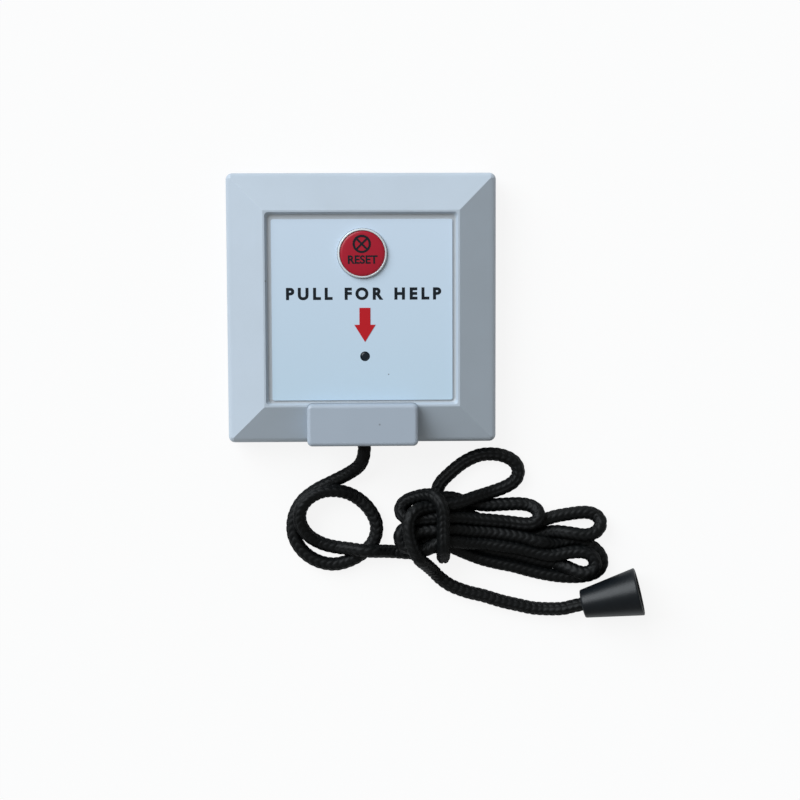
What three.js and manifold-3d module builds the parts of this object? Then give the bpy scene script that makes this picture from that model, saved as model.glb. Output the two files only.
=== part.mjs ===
// Emergency pull cord alarm: a wall call unit of the 86 mm kind with a cancel button, and a pull cord with its knob.
// It lies on its back. Millimetres, +X right, +Y towards the top of the plate, +Z out of its face.
// The origin is the centre of the rear face, so z = 0 is both the wall's surface and the table.

import * as THREE from 'three';
import { mergeVertices } from 'three/addons/utils/BufferGeometryUtils.js';
import Module from 'manifold-3d';

const wasm = await Module();
wasm.setup();

// Clearances
const SEAT_GAP = 0.3; // between a piece and the seat or hole that holds it
const INSET_GAP = 0.15; // round a piece let into another
const PRESS_GAP = 0.1; // between a moving piece and the plunger that it presses

// Front cover
const PLATE = 86.8; // side of the square plate, nominally 86
const PLATE_CORNER = 2;
const EDGE_HEIGHT = 10.5; // height of the upright side wall
const RIDGE_HEIGHT = 17; // height of the ridge round the recess
const RIDGE_WIDTH = 0.6;
const RECESS = 61.4; // side of the square recess in the face
const RECESS_CORNER = 1.1;
const RECESS_DEPTH = 1.7;
const EDGE_ROUND = 0.6;
const COVER_WALL = 2.2;
const FACE_WALL = 2;

// Printed label let into the recess
const LABEL = 57.7;
const LABEL_THICKNESS = 0.5;
const LABEL_CORNER = 0.6;
const LABEL_X = 0.15;
const LABEL_Y = -0.4;
const ARROW_X = 1;
const ARROW_TOP_Y = 0.3;
const ARROW_SHAFT_WIDTH = 3.5;
const ARROW_SHAFT_LENGTH = 5.4;
const ARROW_HEAD_WIDTH = 6.8;
const ARROW_HEAD_LENGTH = 5.5;
const INK_THICKNESS = 0.1;

// Rear base
const BASE_THICKNESS = 2;
const WALL_SLOT_SPACING = 60.3; // the two fixing screws of a standard wall box
const WALL_SLOT_WIDTH = 3.8;
const WALL_SLOT_LENGTH = 7;
const POST_DIAMETER = 5;
const LUG_WIDTH = 8; // four lugs on the base snap into pockets in the cover's side walls
const LUG_THICKNESS = 1.2;
const LUG_HEIGHT = 7;
const LUG_Y = 24;
const CATCH_DEPTH = 0.8;
const CATCH_BOTTOM = 4.9;
const CATCH_TOP = 6.4;

// Screws
const SCREW_SHANK = 2.3;
const SCREW_HEAD = 4;
const SCREW_HEAD_HEIGHT = 1.1;
const SCREW_LENGTH = 8;
const SCREW_CROSS_WIDTH = 0.6;
const SCREW_CROSS_DEPTH = 0.6;
const BOSS_DIAMETER = 4.6;
const BOARD_SCREW_LENGTH = 4;

// Circuit board
const BOARD_LEFT = -12.8;
const BOARD_RIGHT = 26;
const BOARD_BOTTOM = -20.5;
const BOARD_TOP = 29;
const BOARD_HEIGHT = 4.6;
const BOARD_THICKNESS = 1.6;
const BOARD_POST_INSET = 3.5;

// Cancel button and its switch
const BUTTON_X = 0.3;
const BUTTON_Y = 17.6;
const BUTTON_DIAMETER = 15.9;
const BUTTON_PROUD = 1.1;
const BUTTON_FLANGE = 18.4;
const BUTTON_FLANGE_THICKNESS = 1;
const BUTTON_WALL = 1.3;
const BUTTON_STEM = 4;
const DISC_DIAMETER = 14.2;
const DISC_THICKNESS = 0.7;
const DISC_CROWN = 0.2;
const TACT_SIDE = 6;
const TACT_HEIGHT = 3.5;
const TACT_PLUNGER = 3.4;
const TACT_PLUNGER_TOP = 5; // above the board
const TACT_PLUNGER_DEPTH = 0.7; // length of plunger inside the switch
const BUTTON_TRAVEL = 0.5;

// Indicator lamp
const LAMP_X = 1;
const LAMP_Y = -15.2;
const LAMP_DIAMETER = 2.9;
const LAMP_HEIGHT = 5.3;
const LAMP_RIM = 3.7;
const LAMP_RIM_THICKNESS = 0.8;
const LAMP_LEG = 0.5;
const LAMP_LEG_PITCH = 2.54;
const LAMP_WINDOW = 3.1;
const LAMP_BELOW_FACE = 0.2;

// Electronics on the board
const CHIP_X = 13;
const CHIP_Y = -5;
const CHIP_LENGTH = 9.9;
const CHIP_WIDTH = 3.9;
const CHIP_HEIGHT = 1.5;
const CHIP_LEG_PITCH = 1.27;
const CHIP_LEGS_A_SIDE = 7;
const CHIP_SPAN = 6;
const CHIP_LEG_WIDTH = 0.42;
const CRYSTAL_X = -5;
const CRYSTAL_Y = -5;
const CRYSTAL_LENGTH = 11.4;
const CRYSTAL_WIDTH = 4.7;
const CRYSTAL_HEIGHT = 3.5;
const ANTENNA_X = 22;
const ANTENNA_START_Y = 2;
const ANTENNA_LENGTH = 16;
const ANTENNA_DIAMETER = 4.8;
const ANTENNA_WIRE = 0.8;
const ANTENNA_TURNS = 8;

// Battery, a 12 V cell 10.3 mm across and 28.5 mm long with its button
const BATTERY_X = -20;
const BATTERY_END_Y = -17;
const BATTERY_DIAMETER = 10.3;
const BATTERY_LENGTH = 27.5;
const BATTERY_BUTTON = 3.6;
const BATTERY_BUTTON_LENGTH = 1;
const HOLDER_WALL = 1;
const HOLDER_HEIGHT = 6;
const CONTACT_THICKNESS = 0.4;
const CONTACT_WIDTH = 7;
const CONTACT_TOP = 11.2;
const CONTACT_TAB = 1.2;
const CONTACT_SPRING_LENGTH = 2.6;
const CONTACT_SPRING_TURNS = 3;
const CONTACT_SPRING_WIRE = 0.5;

// Cord hood
const HOOD_X = 0.1;
const HOOD_WIDTH = 35.4;
const HOOD_TOP_Y = -30.2;
const HOOD_BOTTOM_Y = -43.7;
const HOOD_HEIGHT = 20.5;
const HOOD_WALL = 1.8;
const HOOD_CORNER = 1.6;
const HOOD_ROUND = 1.2;
const HOOD_SCREW_PITCH = 28.2;
const HOOD_SCREW_Y = -37.5;

// Pull switch: the cord draws a sliding block whose ramp presses a small switch
const CORD_DIAMETER = 4;
const CORD_X = 0.6;
const CORD_Z = 9;
const CORD_HOLE = 4.8;
const GROMMET_BARREL = 6.6;
const GROMMET_FLANGE = 9;
const GROMMET_FLANGE_THICKNESS = 0.8;
const PULL_TRAVEL = 3.5;
const SLIDER_WIDTH = 9;
const SLIDER_LENGTH = 8;
const SLIDER_BOTTOM = 4.6;
const SLIDER_TOP = 12.6;
const SLIDER_POCKET = 7.4;
const SLIDER_POCKET_DEPTH = 4.6;
const SLIDER_FRONT_Y = -34;
const RAIL_THICKNESS = 1.2;
const RAIL_HEIGHT = 7.5;
const RAIL_LENGTH = 14;
const SPRING_DIAMETER = 6;
const SPRING_WIRE = 0.5;
const SPRING_TURNS = 4;
const SWITCH_LENGTH = 12.8;
const SWITCH_DEPTH = 6.5;
const SWITCH_HEIGHT = 5.8;
const SWITCH_PROUD = 0.9; // length of its plunger that stands out
const SWITCH_PLUNGER = 1.4;
const SWITCH_PLUNGER_DEPTH = 1;
const SWITCH_PLUNGER_OFFSET = 4.1; // from the end of the switch nearer the hood
const SWITCH_TERMINAL_LENGTH = 2.2;
const RAMP_SLOPE = 0.2;
const RAMP_HEIGHT = 2;
const WIRE_DIAMETER = 1.2;
const WIRE_REACH = [3.2, 1.2]; // how far each wire stands out past its terminal

// Cord knots
const SLIDER_KNOT_DIAMETER = 6.6;
const SLIDER_KNOT_LENGTH = 3.8;
const KNOB_KNOT_DIAMETER = 7;
const KNOB_KNOT_LENGTH = 4.6;

// Pull knob, a hollow moulded cone that lies on its side
const KNOB_SMALL_END = 9.3;
const KNOB_BIG_END = 16;
const KNOB_LENGTH = 19.3;
const KNOB_WALL = 1.3;
const KNOB_FLOOR = 2;
const KNOB_HOLE = 4.8;
const KNOB_ROUND = 0.5;
const KNOB_X = 72.8;
const KNOB_Y = -98.6;
const KNOB_TURN = 14.4; // degrees in plan, from +X
const TABLE_GAP = 0.02;

// The hank: its runs of cord, and the two turns of cord wound round them
const HANK_HEIGHT = 8.2;
const WRAP_HEIGHT = 14.4;

// Roundness of the facets
const CORNER_STEPS = 4;
const ROUND_STEPS = 32;
const FINE_ROUND_STEPS = 48;
const SMALL_ROUND_STEPS = 16;

// Heights that follow from the sizes above
const RECESS_FLOOR = RIDGE_HEIGHT - RECESS_DEPTH;
const FACE_UNDERSIDE = RECESS_FLOOR - FACE_WALL;
const LABEL_TOP = RECESS_FLOOR + LABEL_THICKNESS;
const BOARD_FACE = BOARD_HEIGHT + BOARD_THICKNESS;
const BASE_SIDE = PLATE - 2 * COVER_WALL - 2 * SEAT_GAP;
const BASE_REST = BASE_THICKNESS + SEAT_GAP; // where pieces that rest on the base begin
const BATTERY_Z = BASE_REST + BATTERY_DIAMETER / 2;
const HOOD_INNER_Y = HOOD_BOTTOM_Y + HOOD_WALL;
const KNOB_TILT = Math.atan2((KNOB_BIG_END - KNOB_SMALL_END) / 2, KNOB_LENGTH);
const KNOB_Z = (KNOB_SMALL_END / 2) * Math.cos(KNOB_TILT) + TABLE_GAP;

const alarm = new THREE.Group();

// Materials
const shellPlastic = { color: 0xd3dae2, roughness: 0.38, metalness: 0 };
const labelPlastic = { color: 0xdde8f2, roughness: 0.32, metalness: 0 };
const redInk = { color: 0xc2142a, roughness: 0.4, metalness: 0 };
const clearPlastic = { color: 0xe9eef0, roughness: 0.2, metalness: 0 };
const redPlastic = { color: 0xb81c30, roughness: 0.3, metalness: 0 };
const smokedLens = { color: 0x0d1a26, roughness: 0.2, metalness: 0 };
const boardLaminate = { color: 0x1f5a34, roughness: 0.5, metalness: 0 };
const blackPlastic = { color: 0x15171a, roughness: 0.5, metalness: 0 };
const whitePlastic = { color: 0xe6e6e2, roughness: 0.5, metalness: 0 };
const steel = { color: 0xb9bcc0, roughness: 0.3, metalness: 1 };
const batteryFoil = { color: 0x8f959c, roughness: 0.35, metalness: 0.8 };
const copperWire = { color: 0xb4744a, roughness: 0.35, metalness: 1 };
const cordBraid = { color: 0x101214, roughness: 0.75, metalness: 0 };
const knobPlastic = { color: 0x181b1e, roughness: 0.4, metalness: 0 };
const redSleeve = { color: 0xa01820, roughness: 0.5, metalness: 0 };

// A closed solid from a three.js geometry, and back
function solid(geometry) {
  const bare = geometry.clone();
  bare.deleteAttribute('normal');
  bare.deleteAttribute('uv');
  const merged = mergeVertices(bare, 1e-4);
  const mesh = new wasm.Mesh({
    numProp: 3,
    vertProperties: new Float32Array(merged.attributes.position.array),
    triVerts: new Uint32Array(merged.index.array),
  });
  return new wasm.Manifold(mesh);
}

function geometryOf(manifold) {
  const mesh = manifold.getMesh();
  const geometry = new THREE.BufferGeometry();
  geometry.setAttribute('position', new THREE.BufferAttribute(mesh.vertProperties, 3));
  geometry.setIndex(new THREE.BufferAttribute(mesh.triVerts, 1));
  geometry.computeVertexNormals();
  return geometry;
}

// A named piece in the group
function piece(name, geometry, look, parent = alarm) {
  const mesh = new THREE.Mesh(geometry, new THREE.MeshStandardMaterial(look));
  mesh.name = name;
  parent.add(mesh);
  return mesh;
}

// Geometry of the first solid with others added and taken away
function joined(base, added = [], cut = []) {
  let body = solid(base);
  for (const item of added) {
    body = body.add(solid(item));
  }
  for (const item of cut) {
    body = body.subtract(solid(item));
  }
  return geometryOf(body);
}

// A block between two corners
function block(low, high) {
  const size = high.map((value, axis) => value - low[axis]);
  const middle = high.map((value, axis) => (value + low[axis]) / 2);
  return new THREE.BoxGeometry(...size).translate(...middle);
}

// An upright round bar from one height to another
function post(x, y, diameter, bottom, top, steps = SMALL_ROUND_STEPS) {
  const bar = new THREE.CylinderGeometry(diameter / 2, diameter / 2, top - bottom, steps);
  return bar.rotateX(Math.PI / 2).translate(x, y, (top + bottom) / 2);
}

// A round bar along Y
function barAlongY(x, z, diameter, low, high, steps = SMALL_ROUND_STEPS) {
  const bar = new THREE.CylinderGeometry(diameter / 2, diameter / 2, high - low, steps);
  return bar.translate(x, (low + high) / 2, z);
}

// A turned piece about +Z from [radius, height] points
function turned(profile, steps = ROUND_STEPS) {
  const points = profile.map(([radius, height]) => new THREE.Vector2(radius, height));
  return new THREE.LatheGeometry(points, steps).rotateX(Math.PI / 2);
}

// Corners of a rectangle with round corners, counter-clockwise
function roundedRectangle(halfX, halfY, radius, x, y) {
  const centres = [
    [halfX - radius, halfY - radius, 0],
    [radius - halfX, halfY - radius, 1],
    [radius - halfX, radius - halfY, 2],
    [halfX - radius, radius - halfY, 3],
  ];
  const points = [];
  for (const [cx, cy, quarter] of centres) {
    for (let step = 0; step <= CORNER_STEPS; step += 1) {
      const angle = (Math.PI / 2) * (quarter + step / CORNER_STEPS);
      points.push([x + cx + radius * Math.cos(angle), y + cy + radius * Math.sin(angle)]);
    }
  }
  return points;
}

// A solid through rounded rectangles, each { half, halfY, radius, z }, listed from the bottom face on
function loft(levels, x = 0, y = 0) {
  const positions = [];
  const index = [];
  const rings = levels.map(({ half, halfY = half, radius, z }) =>
    roundedRectangle(half, halfY, radius, x, y).map(([px, py]) => [px, py, z]));
  const count = rings[0].length;
  for (const ring of rings) {
    positions.push(...ring.flat());
  }
  for (let level = 0; level + 1 < rings.length; level += 1) {
    for (let step = 0; step < count; step += 1) {
      const a = level * count + step;
      const b = level * count + ((step + 1) % count);
      index.push(a, b, b + count, a, b + count, a + count);
    }
  }
  const top = (rings.length - 1) * count;
  for (let step = 1; step + 1 < count; step += 1) {
    index.push(0, step + 1, step);
    index.push(top, top + step, top + step + 1);
  }
  const geometry = new THREE.BufferGeometry();
  geometry.setAttribute('position', new THREE.Float32BufferAttribute(positions, 3));
  geometry.setIndex(index);
  return geometry;
}

// A round bar bent along a smooth line through points
function bentBar(points, diameter, steps, sides = 8) {
  const line = new THREE.CatmullRomCurve3(points.map((point) => new THREE.Vector3(...point)), false, 'centripetal');
  return barAlong(line, diameter, steps, sides);
}

function barAlong(line, diameter, steps, sides) {
  const section = new THREE.Shape();
  for (let side = 0; side < sides; side += 1) {
    const angle = (2 * Math.PI * side) / sides;
    const x = (diameter / 2) * Math.cos(angle);
    const y = (diameter / 2) * Math.sin(angle);
    if (side === 0) {
      section.moveTo(x, y);
    } else {
      section.lineTo(x, y);
    }
  }
  section.closePath();
  return new THREE.ExtrudeGeometry(section, { steps, bevelEnabled: false, extrudePath: line });
}

// A coil about +Y from low to high, as a curve
class CoilAlongY extends THREE.Curve {
  constructor(x, z, radius, low, high, turns, endRadius = radius) {
    super();
    Object.assign(this, { x, z, radius, low, high, turns, endRadius });
  }

  getPoint(t, target = new THREE.Vector3()) {
    const angle = 2 * Math.PI * this.turns * t;
    const radius = this.radius + (this.endRadius - this.radius) * t;
    return target.set(
      this.x + radius * Math.cos(angle),
      this.low + (this.high - this.low) * t,
      this.z + radius * Math.sin(angle),
    );
  }
}

function coil(line, wire, stepsPerTurn = 12) {
  return barAlong(line, wire, Math.round(line.turns * stepsPerTurn), 6);
}

const hoodScrews = [-1, 1].map((side) => [HOOD_X + (side * HOOD_SCREW_PITCH) / 2, HOOD_SCREW_Y]);
const boardPosts = [
  [BOARD_LEFT + BOARD_POST_INSET, BOARD_TOP - BOARD_POST_INSET],
  [BOARD_RIGHT - BOARD_POST_INSET, BOARD_BOTTOM + BOARD_POST_INSET],
  [BOARD_RIGHT - BOARD_POST_INSET, BOARD_TOP - BOARD_POST_INSET],
  [BOARD_LEFT + BOARD_POST_INSET, BOARD_BOTTOM + BOARD_POST_INSET],
];
const boardScrews = boardPosts.slice(0, 2);
const screwHole = SCREW_SHANK + 2 * SEAT_GAP;
const slope = (RIDGE_HEIGHT - EDGE_HEIGHT) / ((PLATE - RECESS) / 2 - RIDGE_WIDTH);

// Height of the inside of the sloping frame at a distance from the middle
function roofHeight(half) {
  const outside = EDGE_HEIGHT + (PLATE / 2 - half) * slope;
  return outside - COVER_WALL * Math.hypot(1, slope);
}

// The room that the hood takes in the cover, open at the rear so that the cover goes on over it
function hoodRoom() {
  const half = HOOD_WIDTH / 2 + SEAT_GAP;
  return block(
    [HOOD_X - half, HOOD_BOTTOM_Y - 1, -1],
    [HOOD_X + half, HOOD_TOP_Y + SEAT_GAP, HOOD_HEIGHT + 1],
  );
}

// One block for each snap lug, from its inner to its outer distance from the middle
function atLugs(inner, outer, width, bottom, top) {
  return [[-1, -1], [-1, 1], [1, -1], [1, 1]].map(([sideX, sideY]) => {
    const [low, high] = [sideX * inner, sideX * outer].sort((a, b) => a - b);
    const y = sideY * LUG_Y;
    return block([low, y - width / 2, bottom], [high, y + width / 2, top]);
  });
}

// Front cover: a square shell whose wide sloping frame rises to a ridge round the recess
function frontCover() {
  const edge = PLATE / 2;
  const ridge = RECESS / 2;
  const outside = loft([
    { half: edge, radius: PLATE_CORNER, z: 0 },
    { half: edge, radius: PLATE_CORNER, z: EDGE_HEIGHT - EDGE_ROUND / 2 },
    { half: edge - EDGE_ROUND, radius: PLATE_CORNER, z: EDGE_HEIGHT + EDGE_ROUND * slope },
    { half: ridge + RIDGE_WIDTH + EDGE_ROUND / 2, radius: RECESS_CORNER, z: RIDGE_HEIGHT - (EDGE_ROUND / 2) * slope },
    { half: ridge + RIDGE_WIDTH / 2, radius: RECESS_CORNER, z: RIDGE_HEIGHT },
    { half: ridge, radius: RECESS_CORNER, z: RIDGE_HEIGHT - EDGE_ROUND / 3 },
    { half: ridge - EDGE_ROUND / 6, radius: RECESS_CORNER, z: RECESS_FLOOR },
  ]);
  const inner = edge - COVER_WALL;
  const flat = inner - (FACE_UNDERSIDE - roofHeight(inner)) / slope;
  const inside = loft([
    { half: inner, radius: PLATE_CORNER / 2, z: -1 },
    { half: inner, radius: PLATE_CORNER / 2, z: roofHeight(inner) },
    { half: flat, radius: PLATE_CORNER / 2, z: FACE_UNDERSIDE },
  ]);
  let shell = solid(outside).subtract(solid(inside));
  const pockets = atLugs(
    inner - 1, inner + CATCH_DEPTH, LUG_WIDTH + 2 * SEAT_GAP, CATCH_BOTTOM - SEAT_GAP, CATCH_TOP + SEAT_GAP,
  );
  for (const pocket of pockets) {
    shell = shell.subtract(solid(pocket));
  }
  shell = shell.subtract(solid(hoodRoom()));
  const buttonHole = BUTTON_DIAMETER + 2 * SEAT_GAP;
  shell = shell.subtract(solid(post(BUTTON_X, BUTTON_Y, buttonHole, 0, RIDGE_HEIGHT, FINE_ROUND_STEPS)));
  const lampHole = LAMP_DIAMETER + 2 * SEAT_GAP;
  shell = shell.subtract(solid(post(LAMP_X, LAMP_Y, lampHole, 0, RIDGE_HEIGHT)));
  piece('front_cover', geometryOf(shell), shellPlastic);
}

// Rear base: a plate with wall slots, snap lugs, board posts, the slider's guide and the switch's seat
function rearBase() {
  const half = BASE_SIDE / 2;
  const plate = loft([
    { half, radius: PLATE_CORNER / 2, z: 0 },
    { half, radius: PLATE_CORNER / 2, z: BASE_THICKNESS },
  ]);
  const added = boardPosts.map(([x, y]) => post(x, y, POST_DIAMETER, 1, BOARD_HEIGHT));
  added.push(...atLugs(half - LUG_THICKNESS, half, LUG_WIDTH, 1, LUG_HEIGHT));
  added.push(...atLugs(half - LUG_THICKNESS, half + CATCH_DEPTH, LUG_WIDTH, CATCH_BOTTOM, CATCH_TOP));
  const reach = SLIDER_WIDTH / 2 + SEAT_GAP;
  const railStart = SLIDER_FRONT_Y - PULL_TRAVEL;
  for (const side of [-1, 1]) {
    const faces = [CORD_X + side * reach, CORD_X + side * (reach + RAIL_THICKNESS)].sort((a, b) => a - b);
    added.push(block([faces[0], railStart, 1], [faces[1], railStart + RAIL_LENGTH, RAIL_HEIGHT]));
  }
  const bed = SLIDER_BOTTOM - SEAT_GAP;
  added.push(block([CORD_X - reach, railStart, 1], [CORD_X + reach, railStart + RAIL_LENGTH, bed]));
  added.push(block(
    [switchLeft + SEAT_GAP, switchStart + SEAT_GAP, 1],
    [switchLeft + SWITCH_DEPTH - SEAT_GAP, switchStart + SWITCH_LENGTH - SEAT_GAP, switchBottom],
  ));
  const cut = [];
  for (const side of [-1, 1]) {
    const x = (side * WALL_SLOT_SPACING) / 2;
    const straight = (WALL_SLOT_LENGTH - WALL_SLOT_WIDTH) / 2;
    cut.push(block([x - WALL_SLOT_WIDTH / 2, -straight, -1], [x + WALL_SLOT_WIDTH / 2, straight, BASE_THICKNESS + 1]));
    cut.push(post(x, straight, WALL_SLOT_WIDTH, -1, BASE_THICKNESS + 1));
    cut.push(post(x, -straight, WALL_SLOT_WIDTH, -1, BASE_THICKNESS + 1));
  }
  for (const [x, y] of hoodScrews) {
    cut.push(post(x, y, screwHole, -1, BASE_THICKNESS + 1));
    cut.push(post(x, y, SCREW_HEAD + 2 * SEAT_GAP, -1, SCREW_HEAD_HEIGHT + INSET_GAP));
  }
  for (const [x, y] of boardScrews) {
    cut.push(post(x, y, screwHole, BOARD_FACE - BOARD_SCREW_LENGTH - SEAT_GAP, BOARD_HEIGHT + 1));
  }
  piece('rear_base', joined(plate, added, cut), shellPlastic);
}

// A pan head screw whose head rests at z = 0 and whose shank points up
function screw(name, x, y, seat, length, direction) {
  const headTop = -SCREW_HEAD_HEIGHT;
  const body = turned([
    [0, headTop],
    [SCREW_HEAD / 2 - 0.4, headTop],
    [SCREW_HEAD / 2, headTop + 0.5],
    [SCREW_HEAD / 2, 0],
    [SCREW_SHANK / 2, 0],
    [SCREW_SHANK / 2, length - 0.8],
    [0, length],
  ], SMALL_ROUND_STEPS);
  const reach = SCREW_HEAD / 3;
  const slot = SCREW_CROSS_WIDTH / 2;
  const depth = headTop + SCREW_CROSS_DEPTH;
  const cross = [
    block([-reach, -slot, headTop - 1], [reach, slot, depth]),
    block([-slot, -reach, headTop - 1], [slot, reach, depth]),
  ];
  const mesh = piece(name, joined(body, [], cross), steel);
  mesh.position.set(x, y, seat);
  mesh.rotation.x = direction > 0 ? 0 : Math.PI;
}

// Label: a thin printed panel with a hole for the button and a window for the lamp, and its arrow
function label() {
  const half = LABEL / 2;
  const panel = loft([
    { half, radius: LABEL_CORNER, z: RECESS_FLOOR },
    { half, radius: LABEL_CORNER, z: LABEL_TOP },
  ], LABEL_X, LABEL_Y);
  const hole = BUTTON_DIAMETER + 2 * SEAT_GAP;
  const cut = [
    post(BUTTON_X, BUTTON_Y, hole, RECESS_FLOOR - 1, LABEL_TOP + 1, FINE_ROUND_STEPS),
    post(LAMP_X, LAMP_Y, LAMP_WINDOW, RECESS_FLOOR - 1, LABEL_TOP + 1),
  ];
  piece('label_panel', joined(panel, [], cut), labelPlastic);

  const shaft = ARROW_SHAFT_WIDTH / 2;
  const head = ARROW_HEAD_WIDTH / 2;
  const shoulder = ARROW_TOP_Y - ARROW_SHAFT_LENGTH;
  const arrow = new THREE.Shape([
    [-shaft, ARROW_TOP_Y], [-shaft, shoulder], [-head, shoulder],
    [0, shoulder - ARROW_HEAD_LENGTH],
    [head, shoulder], [shaft, shoulder], [shaft, ARROW_TOP_Y],
  ].map(([x, y]) => new THREE.Vector2(x + ARROW_X, y)));
  const ink = new THREE.ExtrudeGeometry(arrow, { depth: INK_THICKNESS, bevelEnabled: false });
  piece('arrow_mark', ink.translate(0, 0, LABEL_TOP), redInk);
}

// Cancel button: a clear cap held by its flange behind the face, with a red disc let into it
function cancelButton() {
  const radius = BUTTON_DIAMETER / 2;
  const top = LABEL_TOP + BUTTON_PROUD;
  const flangeTop = FACE_UNDERSIDE - SEAT_GAP;
  const flangeBottom = flangeTop - BUTTON_FLANGE_THICKNESS;
  const stemEnd = BOARD_FACE + TACT_PLUNGER_TOP + PRESS_GAP;
  const seat = top - DISC_THICKNESS;
  const ceiling = seat - BUTTON_WALL;
  const pocket = DISC_DIAMETER / 2 + INSET_GAP;
  const cap = turned([
    [0, stemEnd], [BUTTON_STEM / 2, stemEnd], [BUTTON_STEM / 2, ceiling],
    [radius - BUTTON_WALL, ceiling], [radius - BUTTON_WALL, flangeBottom],
    [BUTTON_FLANGE / 2, flangeBottom], [BUTTON_FLANGE / 2, flangeTop],
    [radius, flangeTop], [radius, top - 0.3], [radius - 0.3, top],
    [pocket, top], [pocket, seat], [0, seat],
  ], FINE_ROUND_STEPS);
  piece('button_cap', cap.translate(BUTTON_X, BUTTON_Y, 0), clearPlastic);

  const disc = DISC_DIAMETER / 2;
  const rim = seat + DISC_THICKNESS - DISC_CROWN;
  const face = turned([
    [0, seat], [disc, seat], [disc, rim], [disc - 0.4, rim + DISC_CROWN * 0.6],
    [disc * 0.6, rim + DISC_CROWN], [0, rim + DISC_CROWN * 1.2],
  ], FINE_ROUND_STEPS);
  piece('button_disc', face.translate(BUTTON_X, BUTTON_Y, 0), redPlastic);
}

// The push switch under the button
function buttonSwitch() {
  const half = TACT_SIDE / 2;
  const top = BOARD_FACE + TACT_HEIGHT;
  const body = block([BUTTON_X - half, BUTTON_Y - half, BOARD_FACE], [BUTTON_X + half, BUTTON_Y + half, top]);
  const plungerFoot = top - TACT_PLUNGER_DEPTH;
  const well = post(
    BUTTON_X, BUTTON_Y, TACT_PLUNGER + 2 * SEAT_GAP, plungerFoot - BUTTON_TRAVEL - SEAT_GAP, top + 1,
  );
  piece('button_switch_body', joined(body, [], [well]), blackPlastic);
  const plunger = post(BUTTON_X, BUTTON_Y, TACT_PLUNGER, plungerFoot, BOARD_FACE + TACT_PLUNGER_TOP);
  piece('button_switch_plunger', plunger, whitePlastic);
}

// Indicator lamp on its two legs, under the window in the label
function lamp() {
  const top = RECESS_FLOOR - LAMP_BELOW_FACE;
  const bottom = top - LAMP_HEIGHT;
  const radius = LAMP_DIAMETER / 2;
  const lens = turned([
    [0, bottom], [LAMP_RIM / 2, bottom], [LAMP_RIM / 2, bottom + LAMP_RIM_THICKNESS],
    [radius, bottom + LAMP_RIM_THICKNESS], [radius, top - radius],
    [radius * 0.87, top - radius * 0.5], [radius * 0.5, top - radius * 0.13], [0, top],
  ], SMALL_ROUND_STEPS).translate(LAMP_X, LAMP_Y, 0);
  const legs = [-1, 1].map((side) => {
    const x = LAMP_X + (side * LAMP_LEG_PITCH) / 2;
    return block(
      [x - LAMP_LEG / 2, LAMP_Y - LAMP_LEG / 2, BOARD_FACE],
      [x + LAMP_LEG / 2, LAMP_Y + LAMP_LEG / 2, bottom + LAMP_RIM_THICKNESS / 2],
    );
  });
  piece('indicator_lamp', joined(lens, legs), smokedLens);
}

// Circuit board with holes for its two screws
function circuitBoard() {
  const board = block([BOARD_LEFT, BOARD_BOTTOM, BOARD_HEIGHT], [BOARD_RIGHT, BOARD_TOP, BOARD_FACE]);
  const holes = boardScrews.map(([x, y]) => post(x, y, screwHole, BOARD_HEIGHT - 1, BOARD_FACE + 1));
  piece('circuit_board', joined(board, [], holes), boardLaminate);
}

// Controller chip: a flat body on two rows of legs
function controllerChip() {
  const lift = 0.2;
  const halfWidth = CHIP_WIDTH / 2;
  const body = block(
    [CHIP_X - CHIP_LENGTH / 2, CHIP_Y - halfWidth, BOARD_FACE + lift],
    [CHIP_X + CHIP_LENGTH / 2, CHIP_Y + halfWidth, BOARD_FACE + CHIP_HEIGHT],
  );
  const legs = [];
  for (let leg = 0; leg < CHIP_LEGS_A_SIDE; leg += 1) {
    const x = CHIP_X + (leg - (CHIP_LEGS_A_SIDE - 1) / 2) * CHIP_LEG_PITCH;
    legs.push(block(
      [x - CHIP_LEG_WIDTH / 2, CHIP_Y - CHIP_SPAN / 2, BOARD_FACE],
      [x + CHIP_LEG_WIDTH / 2, CHIP_Y + CHIP_SPAN / 2, BOARD_FACE + 2 * lift],
    ));
  }
  piece('controller_chip', joined(body, legs), blackPlastic);
}

// Crystal in its metal can
function radioCrystal() {
  const radius = CRYSTAL_WIDTH / 2 - 0.05;
  const can = loft([
    { half: CRYSTAL_LENGTH / 2, halfY: CRYSTAL_WIDTH / 2, radius, z: BOARD_FACE },
    { half: CRYSTAL_LENGTH / 2, halfY: CRYSTAL_WIDTH / 2, radius, z: BOARD_FACE + 0.5 },
    { half: CRYSTAL_LENGTH / 2 - 0.4, halfY: CRYSTAL_WIDTH / 2 - 0.4, radius: radius - 0.4, z: BOARD_FACE + 0.5 },
    { half: CRYSTAL_LENGTH / 2 - 0.4, halfY: CRYSTAL_WIDTH / 2 - 0.4, radius: radius - 0.4, z: BOARD_FACE + CRYSTAL_HEIGHT },
  ], CRYSTAL_X, CRYSTAL_Y);
  piece('radio_crystal', can, steel);
}

// Wire aerial coiled over the board
function antenna() {
  const radius = (ANTENNA_DIAMETER - ANTENNA_WIRE) / 2;
  const height = BOARD_FACE + ANTENNA_DIAMETER / 2 + SEAT_GAP;
  const line = new CoilAlongY(
    ANTENNA_X, height, radius, ANTENNA_START_Y, ANTENNA_START_Y + ANTENNA_LENGTH, ANTENNA_TURNS,
  );
  piece('antenna_coil', coil(line, ANTENNA_WIRE), copperWire);
}

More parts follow.
